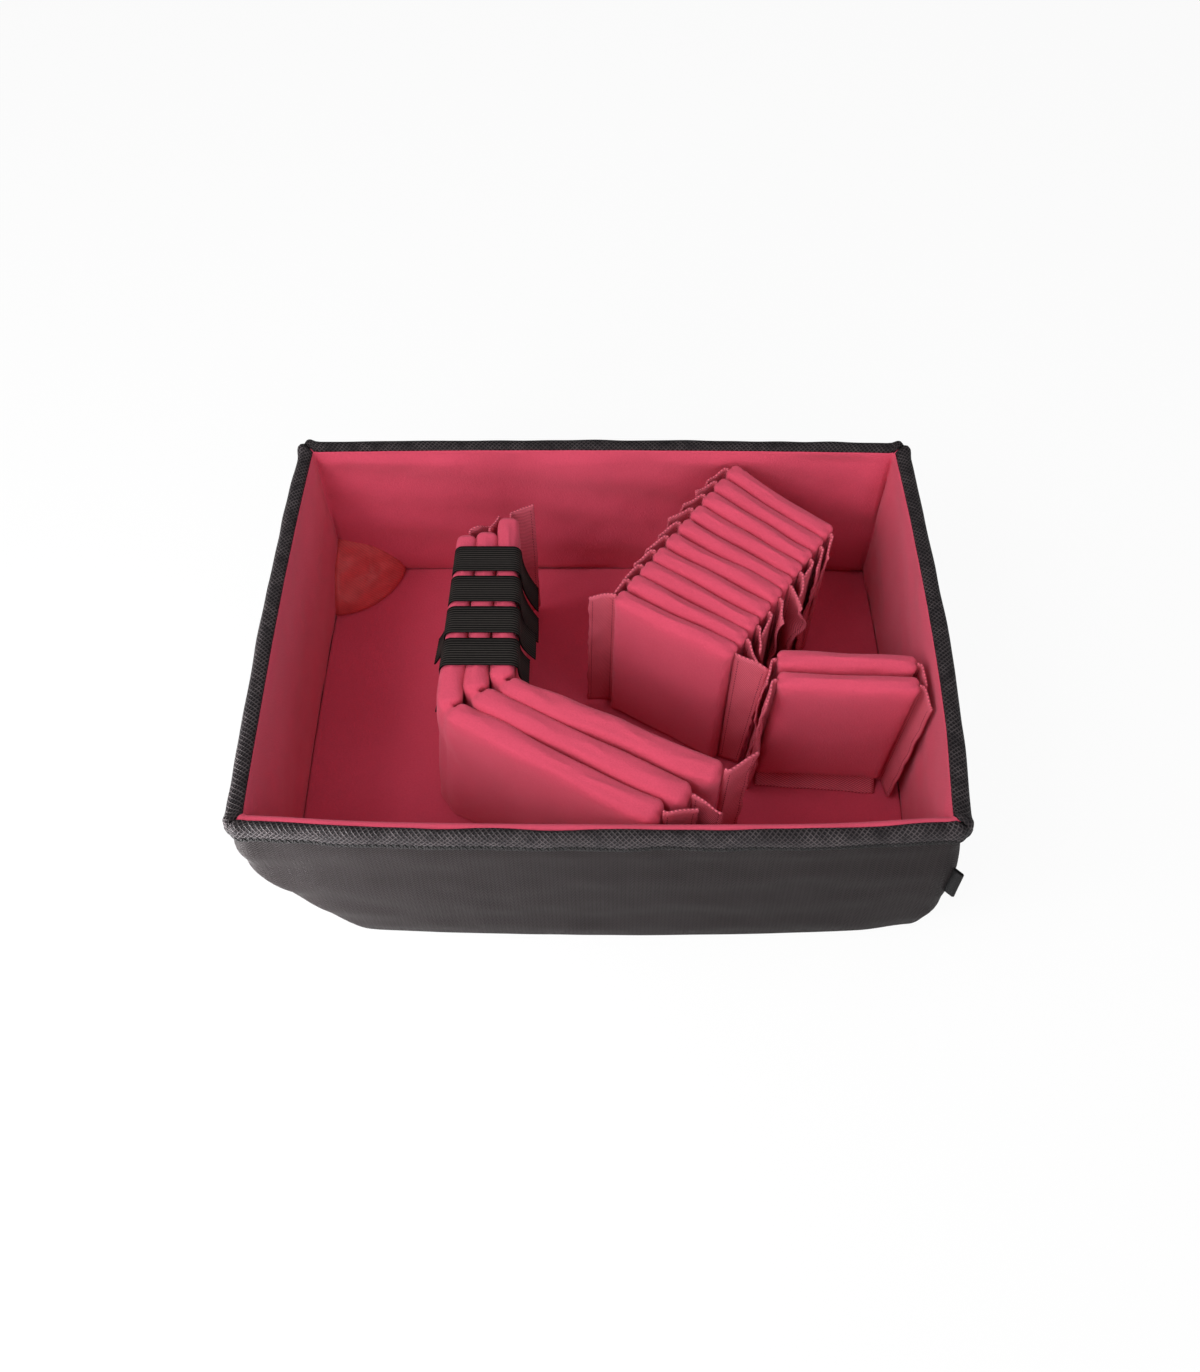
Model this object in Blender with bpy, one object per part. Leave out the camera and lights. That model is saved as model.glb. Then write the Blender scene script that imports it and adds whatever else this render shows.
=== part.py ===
"""A padded divider insert for a wheeled hard case, built in metres with +Z up.

An open tub of foam boards wears a woven cover, a brushed lining and a rolled rim binding. In it stand
twelve short dividers with sewn tabs and three long folding dividers held together by four elastic
straps. The origin is on the underside, below the middle of the inner plan. +X runs along the length
and -Y is the long front side.
"""

import math

import bmesh
import bpy
from mathutils import Matrix, Vector

# The tub
INNER_LENGTH = 0.498
INNER_WIDTH = 0.354
INNER_DEPTH = 0.160
WALL = 0.012
FLOOR = 0.010
COVER = 0.0010
LINING = 0.0013
SEAT_GAP = 0.0003
CORNER_ROUND = 0.018
BOTTOM_ROUND = 0.016
FRONT_BOW = 0.008
REAR_BOW = 0.003
LEFT_BOW = 0.004
RIGHT_BOW = 0.005

# The rim binding, rolled over the tops of the walls
RIM_CROWN = 0.0055
RIM_DROP = 0.020
RIM_FABRIC = 0.0011
RIM_PROUD = 0.0008

# The wheel corners at the left end: outer cuts and inner domes, each as lengths along X, Y and Z
REAR_CORNER_CUT = Vector((0.079, 0.072, 0.055))
FRONT_CORNER_CUT = Vector((0.073, 0.075, 0.106))
REAR_DOME = Vector((0.060, 0.055, 0.044))
FRONT_DOME = Vector((0.060, 0.058, 0.082))

# The blank tag sewn in the front right corner seam
TAG_PROUD = 0.012
TAG_HEIGHT = 0.030
TAG_THICKNESS = 0.0014
TAG_LEVEL = 0.094

# The dividers
PAD_TOP = 0.151
PAD_CROWN = 0.0008
PAD_EDGE_ROUND = 0.0055
PAD_FACE_SHARES = (0.3, 0.5, 0.7)
PAD_FOOT_SHARES = ((0, 0.45), (0.7, 0))
PAD_BROW_SHARES = ((1, 0), (0.35, 0.3), (0, 0.85))
TAB_WIDTH = 0.022
TAB_THICKNESS = 0.0016
TAB_TAPER = 0.009
TAB_BEND_ROUND = 0.0042
SEAM_BAND = 0.003
SHORT_LENGTH = 0.107
SHORT_THICKNESS = 0.0168
ROW_HEM = 0.0065
PAIR_HEM = 0.012
HEM_WIDTH = 0.018
LONG_LEG = 0.182
LONG_BACK_LEG = 0.166
LONG_THICKNESS = 0.0172
FOLD_TIP = 0.0034
FOLD_WEB = 0.0020

# The leaning row of ten short dividers
ROW_COUNT = 10
ROW_START = Vector((0.0575, 0.0020))
ROW_PITCH = 0.0176
ROW_HEADING = math.radians(55.0)
ROW_TURN_FRONT = math.radians(-31.5)
ROW_TURN_BACK = math.radians(-42.0)
ROW_LEFT_TURNS = [math.radians(turn) for turn in (-37, -62, -66, -64, -68, -63, -66, -65, -67, -64)]
ROW_RIGHT_TURNS = [math.radians(turn) for turn in (8, -30, -44, -54, -62, -60, -63, -60, -62, -60)]

# The pair of short dividers by the right wall
PAIR_START = Vector((0.1905, -0.0540))
PAIR_PITCH = 0.0205
PAIR_TURN = math.radians(-2.5)
PAIR_LEFT_TURNS = [math.radians(turn) for turn in (-88, -82)]
PAIR_RIGHT_TURNS = [math.radians(turn) for turn in (-82, -84)]
PAIR_BEND_ROUND = 0.0021

# The nest of three long dividers
NEST_START = Vector((-0.1135, -0.0710))
NEST_STEP = Vector((0.0200, 0.0120))
NEST_TURNS = [math.radians(turn) for turn in (-30.5, -28.5, -25.5)]
NEST_REAR_TAB_TURNS = [math.radians(turn) for turn in (-50, -26, -58)]
NEST_FRONT_TAB_TURNS = [math.radians(turn) for turn in (30, 0, 54)]
NEST_REAR_TAB_SHARES = (0.62, 0.80, 1.0)
NEST_FRONT_TAB_SHARES = (1.0, 1.0, 1.0)

# The elastic straps over the nest
STRAP_WIDTH = 0.026
STRAP_THICKNESS = 0.0018
STRAP_LENGTH = 0.180
STRAP_PITCH = 0.0309
STRAP_REAR_INSET = 0.0315
STRAP_SHOULDER = 0.0075
STRAP_LEFT_DROP_SHARES = (0.22, 0.22, 0.20, 0.33)
STRAP_RIGHT_DROP_SHARES = (0.26, 0.27, 0.16, 0.12)
STRAP_LEFT_FLARE_SHARES = (0.02, 0.02, 0.05, 0.02)
STRAP_RIGHT_FLARE_SHARES = (0.06, 0.06, 0.06, 0.04)
STRAP_HANG_SHARES = (0.5, 1)

# Facets
SMOOTH_ANGLE = math.radians(50)
CORNER_STEPS = 4
SIDE_STEPS = 8
ROUND_STEPS = 4
DOME_STEPS = 7

HALF_LENGTH = INNER_LENGTH / 2
HALF_WIDTH = INNER_WIDTH / 2
TOP = FLOOR + INNER_DEPTH
FOAM_TOP = TOP - RIM_CROWN - SEAT_GAP
FOAM_INNER = LINING + SEAT_GAP
FOAM_OUTER = WALL - COVER - SEAT_GAP
RIM_OUTER = WALL + SEAT_GAP + RIM_FABRIC
CORNER_INSET = CORNER_ROUND - WALL
BOW_REACH = WALL + RIM_FABRIC + RIM_PROUD

NYLON = ("nylon", (0.060, 0.054, 0.056), 0.62)
BINDING = ("binding", (0.072, 0.066, 0.068), 0.55)
LOOP = ("loop_lining", (0.620, 0.060, 0.130), 0.95)
PATCH = ("patch_nylon", (0.480, 0.045, 0.060), 0.60)
HOOK = ("hook_tab", (0.660, 0.085, 0.150), 0.85)
ELASTIC = ("elastic", (0.016, 0.016, 0.017), 0.75)
FOAM = ("foam", (0.130, 0.130, 0.135), 0.95)


def clear_scene():
    for obj in list(bpy.data.objects):
        bpy.data.objects.remove(obj, do_unlink=True)


def material(finish):
    name, colour, roughness = finish
    found = bpy.data.materials.get(name)
    if found:
        return found
    made = bpy.data.materials.new(name)
    made.use_nodes = True
    shader = made.node_tree.nodes["Principled BSDF"]
    shader.inputs["Base Color"].default_value = (*colour, 1)
    shader.inputs["Roughness"].default_value = roughness
    shader.inputs["Metallic"].default_value = 0
    return made


def add_object(name, shape, finish):
    """Turns a bmesh into a named object, with its faces pointing out."""
    bmesh.ops.recalc_face_normals(shape, faces=shape.faces)
    if shape.calc_volume(signed=True) < 0:
        bmesh.ops.reverse_faces(shape, faces=shape.faces)
    mesh = bpy.data.meshes.new(name)
    shape.to_mesh(mesh)
    shape.free()
    mesh.shade_smooth()
    mesh.set_sharp_from_angle(angle=SMOOTH_ANGLE)
    mesh.materials.append(material(finish))
    obj = bpy.data.objects.new(name, mesh)
    bpy.context.scene.collection.objects.link(obj)
    return obj


def arc(centre, radius, start, end, steps):
    """Points along a circle from one angle to another, both ends included."""
    turns = [start + (end - start) * step / steps for step in range(steps + 1)]
    return [(centre[0] + radius * math.cos(turn), centre[1] + radius * math.sin(turn)) for turn in turns]


def tube_of_loops(shape, loops, closed):
    """Joins equal loops of points into a skin, with end caps unless it closes on itself."""
    rings = [[shape.verts.new(point) for point in loop] for loop in loops]
    count = len(rings[0])
    pairs = list(zip(rings, rings[1:]))
    if closed:
        pairs.append((rings[-1], rings[0]))
    for near, far in pairs:
        for i in range(count):
            j = (i + 1) % count
            shape.faces.new((near[i], near[j], far[j], far[i]))
    if not closed:
        shape.faces.new(rings[0])
        shape.faces.new(rings[-1])


# Plan of the tub

def side_path(side, offset, mitred, end_gap):
    """Plan points of one wall, from the middle of one corner to the middle of the next, `offset` outside
    the inner face. Side 0 is the front, and the others follow it the way +X turns to +Y."""
    half, depth = (HALF_LENGTH, HALF_WIDTH) if side % 2 == 0 else (HALF_WIDTH, HALF_LENGTH)
    if mitred:
        reach = half + offset
        points = [(-reach, -depth - offset), (reach, -depth - offset)]
    else:
        reach = half - CORNER_INSET
        level = -(depth - CORNER_INSET)
        radius = CORNER_INSET + offset
        quarter = math.pi / 4
        down = -math.pi / 2
        half_steps = CORNER_STEPS // 2
        first = arc((-reach, level), radius, down - quarter, down, half_steps)
        last = arc((reach, level), radius, down, down + quarter, half_steps)
        points = first + last
    middle = len(points) // 2
    start, end = Vector(points[middle - 1]), Vector(points[middle])
    inner = [start.lerp(end, step / SIDE_STEPS) for step in range(1, SIDE_STEPS)]
    points = [Vector(p) for p in points[:middle]] + inner + [Vector(p) for p in points[middle:]]
    slant = Vector((1, -1)).normalized() * end_gap
    points[0] = points[0] + Vector((slant.x, 0 if mitred else slant.y))
    points[-1] = points[-1] + Vector((-slant.x, 0 if mitred else slant.y))
    turned = Matrix.Rotation(side * math.pi / 2, 2)
    return [turned @ point for point in points]


def whole_path(offset):
    """Plan points right round the tub, `offset` outside the inner face."""
    points = []
    for side in range(4):
        points += side_path(side, offset, False, 0)[:-1]
    return points


def bow(shape):
    """Pushes the middle of each wall out, as the soft boards stand, and leaves the corners in place."""
    reach = Vector((HALF_LENGTH + BOW_REACH, HALF_WIDTH + BOW_REACH))
    for vert in shape.verts:
        x, y = vert.co.x, vert.co.y
        along_x = max(0, 1 - (x / reach.x) ** 2)
        along_y = max(0, 1 - (y / reach.y) ** 2)
        side_bow = RIGHT_BOW if x > 0 else LEFT_BOW
        end_bow = REAR_BOW if y > 0 else FRONT_BOW
        vert.co.x = x + side_bow * (x / HALF_LENGTH) * along_y
        vert.co.y = y + end_bow * (y / HALF_WIDTH) * along_x


def ring_shape(profile):
    """A skin right round the tub. The profile is a closed outline of (offset, height)."""
    shape = bmesh.new()
    tube_of_loops(shape, [[(*p, z) for p in whole_path(o)] for o, z in profile], True)
    return shape


def board_shape(side, profile, mitred=False):
    """One wall's length of a profile, from corner to corner."""
    shape = bmesh.new()
    paths = [[(*p, z) for p in side_path(side, o, mitred, SEAT_GAP / 2)] for o, z in profile]
    tube_of_loops(shape, list(zip(*paths)), False)
    return shape


def plate_shape(levels):
    """A plate over the whole plan. Each level is (offset, height)."""
    shape = bmesh.new()
    tube_of_loops(shape, [[(*p, z) for p in whole_path(o)] for o, z in levels], False)
    return shape


def bottom_arc(offset, start_height, end_height):
    """The rounded lower edge of the tub at one depth in its wall, between two heights."""
    centre = (WALL - BOTTOM_ROUND, BOTTOM_ROUND)
    radius = BOTTOM_ROUND - (WALL - offset)
    start = -math.asin((centre[1] - start_height) / radius)
    end = -math.asin(max(-1, min(1, (centre[1] - end_height) / radius)))
    return arc(centre, radius, start, end, ROUND_STEPS)


# Wheel corners

def corner_point(rear):
    """The tub's outer bottom corner at the left end, rear or front."""
    side = 1 if rear else -1
    return Vector((-HALF_LENGTH - WALL, side * (HALF_WIDTH + WALL), 0))


def corner_plane(rear, depth):
    """A point on the wheel corner's outer cut, moved `depth` into the tub, and its normal out of the tub."""
    cut = REAR_CORNER_CUT if rear else FRONT_CORNER_CUT
    side = 1 if rear else -1
    normal = Vector((-1 / cut.x, side / cut.y, -1 / cut.z)).normalized()
    point = corner_point(rear) + Vector((cut.x, 0, 0))
    return point - normal * depth, normal


def slice_off(shape, point, normal):
    """Cuts away what lies past a plane and closes the cut."""
    whole = shape.verts[:] + shape.edges[:] + shape.faces[:]
    bmesh.ops.bisect_plane(shape, geom=whole, plane_co=point, plane_no=normal, clear_outer=True)
    cut_edges = [edge for edge in shape.edges if edge.is_boundary]
    bmesh.ops.edgeloop_fill(shape, edges=cut_edges)


def trim_wheel_corners(shape, rear=True, front=True):
    depth = COVER + SEAT_GAP
    if rear:
        slice_off(shape, *corner_plane(True, depth))
    if front:
        slice_off(shape, *corner_plane(False, depth))


def outer_profile(lowest):
    """The cover's outer outline from the rim down and under, as (offset, height)."""
    return [(WALL, FOAM_TOP)] + bottom_arc(WALL, BOTTOM_ROUND, lowest)


def corner_cover_shape(rear):
    """The cover's flat panel over a wheel corner, cut out of the tub's outer form."""
    shape = plate_shape(outer_profile(0))
    bow(shape)
    point, normal = corner_plane(rear, 0)
    slice_off(shape, point, normal)
    point, normal = corner_plane(rear, COVER)
    slice_off(shape, point, -normal)
    return shape


def dome_shape(rear):
    """The swollen patch in an inner bottom corner: an eighth of an ellipsoid with a flat back."""
    axes = REAR_DOME if rear else FRONT_DOME
    side = 1 if rear else -1
    shape = bmesh.new()
    quarter = math.pi / 2
    levels = []
    for i in range(DOME_STEPS):
        rise = quarter * i / DOME_STEPS
        level = []
        for j in range(DOME_STEPS + 1):
            swing = quarter * j / DOME_STEPS
            reach = math.cos(rise)
            share = Vector((reach * math.cos(swing), reach * math.sin(swing), math.sin(rise)))
            level.append(share * axes)
        levels.append(level)
    corner = Vector((-HALF_LENGTH + SEAT_GAP, side * (HALF_WIDTH - SEAT_GAP), FLOOR + SEAT_GAP))

    def placed(offset):
        return shape.verts.new(corner + Vector((offset.x, -side * offset.y, offset.z)))

    grid = [[placed(point) for point in level] for level in levels]
    spine = [placed(Vector((0, 0, level[0].z))) for level in levels]
    peak = placed(Vector((0, 0, axes.z)))
    for i in range(DOME_STEPS - 1):
        for j in range(DOME_STEPS):
            shape.faces.new((grid[i][j], grid[i][j + 1], grid[i + 1][j + 1], grid[i + 1][j]))
        shape.faces.new((spine[i], grid[i][0], grid[i + 1][0], spine[i + 1]))
        shape.faces.new((spine[i], spine[i + 1], grid[i + 1][-1], grid[i][-1]))
    for j in range(DOME_STEPS):
        shape.faces.new((grid[-1][j], grid[-1][j + 1], peak))
        shape.faces.new((spine[0], grid[0][j + 1], grid[0][j]))
    shape.faces.new((spine[-1], grid[-1][0], peak))
    shape.faces.new((spine[-1], peak, grid[-1][-1]))
    facet = math.pi / 2 / CORNER_STEPS
    centre = Vector((-HALF_LENGTH + CORNER_INSET, side * (HALF_WIDTH - CORNER_INSET), 0))
    for step in range(CORNER_STEPS):
        swing = facet * (step + 1 / 2)
        normal = Vector((-math.cos(swing), side * math.sin(swing), 0))
        slice_off(shape, centre + normal * (CORNER_INSET * math.cos(facet / 2) - SEAT_GAP), normal)
    bow(shape)
    slice_off(shape, *corner_plane(rear, COVER + SEAT_GAP))
    return shape


def shell_ring_profile():
    """The cover's closed outline: down the outside, under the edge and back up its inner face."""
    outer = outer_profile(0)
    inner = [(WALL - COVER, FOAM_TOP)] + bottom_arc(WALL - COVER, BOTTOM_ROUND, COVER)
    return outer + inner[::-1]


def foam_wall_profile():
    lowest = FLOOR - LINING
    outer = [(FOAM_OUTER, FOAM_TOP)] + bottom_arc(FOAM_OUTER, BOTTOM_ROUND, lowest)
    return outer + [(FOAM_INNER, lowest), (FOAM_INNER, FOAM_TOP)]


def rim_profile():
    """The binding's outline: a rolled crown over the wall with a flap down the outside."""
    inner = FOAM_INNER
    outer = RIM_OUTER
    rise = RIM_CROWN
    middle = (inner + outer) / 2
    half = (outer - inner) / 2 + RIM_PROUD / 2
    crown = [(middle + RIM_PROUD / 2 + half * math.cos(turn), TOP - rise + rise * math.sin(turn))
             for turn in [math.pi * step / (2 * ROUND_STEPS) for step in range(2 * ROUND_STEPS + 1)]]
    flap_inner = WALL + SEAT_GAP
    crown[-1] = (inner, TOP - rise)
    return crown + [(flap_inner, TOP - rise), (flap_inner, TOP - RIM_DROP), (outer, TOP - RIM_DROP)]


def build_tub():
    """The foam boards, cover, lining, rim, wheel corners and tag."""
    sides = ("front", "right", "rear", "left")

    shape = ring_shape(shell_ring_profile())
    bow(shape)
    trim_wheel_corners(shape)
    add_object("cover_sides", shape, NYLON)

    edge = WALL - BOTTOM_ROUND - SEAT_GAP
    shape = plate_shape([(edge, 0), (edge, COVER)])
    bow(shape)
    trim_wheel_corners(shape)
    add_object("cover_base", shape, NYLON)

    for rear in (True, False):
        place = "rear_left" if rear else "front_left"
        add_object(f"cover_corner_{place}", corner_cover_shape(rear), NYLON)
        add_object(f"corner_patch_{place}", dome_shape(rear), PATCH)

    low, high = COVER + SEAT_GAP, FLOOR - LINING - SEAT_GAP
    shape = plate_shape(bottom_arc(FOAM_OUTER, high, low))
    bow(shape)
    trim_wheel_corners(shape)
    add_object("foam_base", shape, FOAM)

    for side, name in enumerate(sides):
        shape = board_shape(side, foam_wall_profile())
        bow(shape)
        trim_wheel_corners(shape, rear=name in ("rear", "left"), front=name in ("front", "left"))
        add_object(f"foam_{name}", shape, FOAM)

        shape = board_shape(side, rim_profile(), mitred=True)
        bow(shape)
        add_object(f"rim_{name}", shape, BINDING)

    inset = -SEAT_GAP
    shape = plate_shape([(inset, FLOOR - LINING), (inset, FLOOR)])
    bow(shape)
    trim_wheel_corners(shape)
    add_object("lining_floor", shape, LOOP)

    edge = LINING / 2
    top = TOP - edge
    profile = [(0, FLOOR - LINING), (0, top - edge), (edge / 2, top), (LINING, top), (LINING, FLOOR - LINING)]
    shape = ring_shape(profile)
    bow(shape)
    trim_wheel_corners(shape)
    add_object("lining_walls", shape, LOOP)

    build_tag()


def build_tag():
    """The blank woven tag, standing out of the front right corner on its diagonal."""
    shape = bmesh.new()
    bmesh.ops.create_cube(shape, size=1)
    size = Vector((TAG_PROUD, TAG_THICKNESS, TAG_HEIGHT))
    centre = Vector((HALF_LENGTH - CORNER_INSET, -HALF_WIDTH + CORNER_INSET, TAG_LEVEL))
    reach = CORNER_ROUND + SEAT_GAP + TAG_PROUD / 2
    placed = Matrix.Translation(centre) @ Matrix.Rotation(-math.pi / 4, 4, "Z")
    placed = placed @ Matrix.Translation((reach, 0, 0)) @ Matrix.Diagonal((*size, 1))
    bmesh.ops.transform(shape, matrix=placed, verts=shape.verts)
    bow(shape)
    add_object("label_tag", shape, ELASTIC)


# Dividers

def pad_outline(start, end, thickness, inset, fold):
    """A pad's plan as a closed outline, drawn in by `inset`. Its corners are round, its faces swell, and
    with a fold its start is a full round that runs out to a thin stitched web at the origin."""
    half = thickness / 2 - inset
    low, high = start + inset, end - inset
    middle = (start + end) / 2
    span = (end - start) / 2

    def swell(u):
        return -PAD_CROWN * ((u - middle) / span) ** 2

    stations = [low + (high - low) * share for share in PAD_FACE_SHARES]
    quarter = math.pi / 2
    far_edge = half + swell(high)
    near_edge = half + swell(low)
    radius = min(PAD_EDGE_ROUND, far_edge, near_edge)
    far_right = arc((high - radius, -far_edge + radius), radius, -quarter, 0, ROUND_STEPS - 1)
    far_left = arc((high - radius, far_edge - radius), radius, 0, quarter, ROUND_STEPS - 1)
    right = [(u, -half - swell(u)) for u in stations]
    left = [(u, half + swell(u)) for u in reversed(stations)]
    if not fold:
        steps = ROUND_STEPS - 1
        near_left = arc((low + radius, near_edge - radius), radius, quarter, 2 * quarter, steps)
        near_right = arc((low + radius, -near_edge + radius), radius, 2 * quarter, 3 * quarter, steps)
        return near_left + near_right + right + far_right + far_left + left
    web = FOLD_WEB / 2
    centre = low + near_edge
    meet = quarter + math.acos(min(1, web / near_edge))
    near_left = arc((centre, 0), near_edge, quarter, meet, ROUND_STEPS)
    near_right = [(u, -n) for u, n in reversed(near_left)]
    tip = arc((FOLD_WEB / 2 + SEAT_GAP, 0), web, quarter, 3 * quarter, 2)
    return near_left + tip + near_right + right + far_right + far_left + left


def pad_shape(start, end, thickness, bottom, fold=False):
    """A padded board with a crown on its faces and rounded top and bottom edges."""
    edge = PAD_EDGE_ROUND
    height = PAD_TOP + FLOOR - bottom
    foot = [(edge * rise, PAD_CROWN + edge * inset) for rise, inset in PAD_FOOT_SHARES]
    brow = [(height - edge * fall, PAD_CROWN + edge * inset) for fall, inset in PAD_BROW_SHARES]
    levels = foot + [(height / 2, 0)] + brow
    shape = bmesh.new()
    loops = [[(u, n, bottom + z) for u, n in pad_outline(start, end, thickness, inset, fold)]
             for z, inset in levels]
    tube_of_loops(shape, loops, False)
    return shape


def tab_path(length, radius, turn, steps=4):
    """A tab's centre line from a pad's edge: a bend through `turn`, then straight to its full length.
    Gives places as (out, side) and the heading at each."""
    places, headings = [], []
    for step in range(steps + 1):
        angle = turn * step / steps
        reach = radius * math.sin(abs(angle))
        drift = math.copysign(radius * (1 - math.cos(angle)), turn)
        places.append(Vector((reach, drift)))
        headings.append(angle)
    left = length - radius * abs(turn)
    places.append(places[-1] + Vector((math.cos(turn), math.sin(turn))) * left)
    headings.append(turn)
    return list(zip(places, headings))


def sheet_shape(grid, cells, thickness):
    """A sheet of even thickness over the named cells of a grid of (place, normal)."""
    shape = bmesh.new()
    skins = []
    for side in (1, -1):
        skin = {}
        for key in sorted({corner for cell in cells for corner in cell}):
            place, normal = grid[key]
            skin[key] = shape.verts.new(place + normal * (side * thickness / 2))
        skins.append(skin)
    top, bottom = skins
    edges = {}
    for cell in cells:
        shape.faces.new([top[key] for key in cell])
        shape.faces.new([bottom[key] for key in reversed(cell)])
        for a, b in zip(cell, cell[1:] + cell[:1]):
            edges[(a, b)] = True
    for a, b in edges:
        if (b, a) not in edges:
            shape.faces.new((top[a], bottom[a], bottom[b], top[b]))
    return shape


def flange_shape(left_bend, right_bend, foot, folded_hem):
    """The sewn border of a short divider whose pad starts `foot` above the lining: a narrow band round its
    left, lower and right edges that carries two side tabs and a bottom tab, with the corners notched.
    Bends are (radius, turn)."""
    half = SHORT_LENGTH / 2 + SEAT_GAP
    outer = half + SEAM_BAND
    pad_bottom = FLOOR + foot
    band_top = pad_bottom - SEAT_GAP
    band_bottom = band_top - SEAM_BAND
    top = FLOOR + PAD_TOP - SEAM_BAND
    tab_bottom = pad_bottom + SEAM_BAND

    columns = []
    for place, heading in reversed(tab_path(TAB_WIDTH, *left_bend)):
        columns.append((Vector((-outer - place.x, place.y)), Vector((math.sin(heading), math.cos(heading)))))
    straight = Vector((0, 1))
    tabs = len(columns)
    notch = half - SEAM_BAND
    columns += [(Vector((u, 0)), straight) for u in (-half, -notch, notch, half)]
    for place, heading in tab_path(TAB_WIDTH, *right_bend):
        columns.append((Vector((outer + place.x, place.y)), Vector((-math.sin(heading), math.cos(heading)))))
    last = len(columns) - 1

    lowest = FLOOR + SEAT_GAP
    if folded_hem:
        rest = lowest + TAB_THICKNESS / 2
        hem = [(place, heading) for place, heading in
               tab_path(HEM_WIDTH, band_bottom - rest, math.pi / 2)][::-1]
        rows = [(Vector((-place.y, band_bottom - place.x)), Vector((math.cos(heading), -math.sin(heading))))
                for place, heading in hem[:-1]]
    else:
        rows = [(Vector((0, lowest)), Vector((1, 0)))]
    hems = len(rows)
    rows += [(Vector((0, z)), Vector((1, 0))) for z in (band_bottom, band_top, tab_bottom, top)]

    grid = {}
    for i, (place, normal) in enumerate(columns):
        for j, (row, row_normal) in enumerate(rows):
            spot = Vector((place.x, place.y + row.x, row.y))
            facing = Vector((normal.x, normal.y * row_normal.x, row_normal.y))
            if j == hems + 2 and (i < tabs - 1 or i > last - tabs + 1):
                step = tabs - 1 - i if i < tabs else i - (last - tabs + 1)
                spot.z += TAB_TAPER * step / (tabs - 1)
            grid[(i, j)] = (spot, facing)

    def cell(i, j):
        return [(i, j), (i + 1, j), (i + 1, j + 1), (i, j + 1)]

    cells = []
    for i in range(last):
        in_tab = i < tabs - 1 or i >= last - tabs + 1
        in_band = i in (tabs - 1, last - tabs)
        if in_tab or in_band:
            cells.append(cell(i, hems + 2))
        if in_band:
            cells.append(cell(i, hems + 1))
        if not in_tab:
            cells.append(cell(i, hems))
        if tabs <= i <= last - tabs - 1 and i == tabs + 1:
            cells += [cell(i, j) for j in range(hems)]
    return sheet_shape(grid, cells, TAB_THICKNESS)


def build_short_divider(kind, number, place, turn, left_bend, right_bend, foot, folded_hem=False):
    """A short divider: its pad, and the sewn border parented to it."""
    half = SHORT_LENGTH / 2
    shape = pad_shape(-half, half, SHORT_THICKNESS, FLOOR + foot)
    pad = add_object(f"{kind}_pad_{number:02d}", shape, LOOP)
    pad.location = (place.x, place.y, 0)
    pad.rotation_euler = (0, 0, turn)
    shape = flange_shape(left_bend, right_bend, foot, folded_hem)
    flange = add_object(f"{kind}_flange_{number:02d}", shape, HOOK)
    flange.parent = pad


def build_row():
    """Ten short dividers standing one behind the other, fanned a little, their tabs folded forward."""
    heading = Vector((math.cos(ROW_HEADING), math.sin(ROW_HEADING)))
    for i in range(ROW_COUNT):
        share = i / (ROW_COUNT - 1)
        turn = ROW_TURN_FRONT + (ROW_TURN_BACK - ROW_TURN_FRONT) * share
        place = ROW_START + heading * (ROW_PITCH * i)
        left, right = (TAB_BEND_ROUND, ROW_LEFT_TURNS[i]), (TAB_BEND_ROUND, ROW_RIGHT_TURNS[i])
        build_short_divider("row", i + 1, place, turn, left, right, ROW_HEM)


def build_pair():
    """Two short dividers by the right wall, with tabs folded forward and the front one's hem on the floor."""
    behind = Vector((-math.sin(PAIR_TURN), math.cos(PAIR_TURN)))
    for i, turns in enumerate(zip(PAIR_LEFT_TURNS, PAIR_RIGHT_TURNS)):
        place = PAIR_START + behind * (PAIR_PITCH * i)
        left, right = [(PAIR_BEND_ROUND, turn) for turn in turns]
        build_short_divider("pair", i + 1, place, PAIR_TURN, left, right, PAIR_HEM, folded_hem=i == 0)


def long_tab_shape(start, turn, length):
    """A tab off the far end of a long divider's leg."""
    rows = (FLOOR + TAB_TAPER, FLOOR + PAD_TOP - SEAM_BAND)
    grid = {}
    path = [(Vector((0, 0)), 0)] + [(place + Vector((SEAM_BAND, 0)), heading)
                                    for place, heading in tab_path(length, TAB_BEND_ROUND, turn)]
    for i, (place, heading) in enumerate(path):
        for j, z in enumerate(rows):
            spot = Vector((start + SEAT_GAP + place.x, place.y, z))
            grid[(i, j)] = (spot, Vector((-math.sin(heading), math.cos(heading), 0)))
    cells = [[(i, 0), (i + 1, 0), (i + 1, 1), (i, 1)] for i in range(len(path) - 1)]
    return sheet_shape(grid, cells, TAB_THICKNESS)


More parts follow.
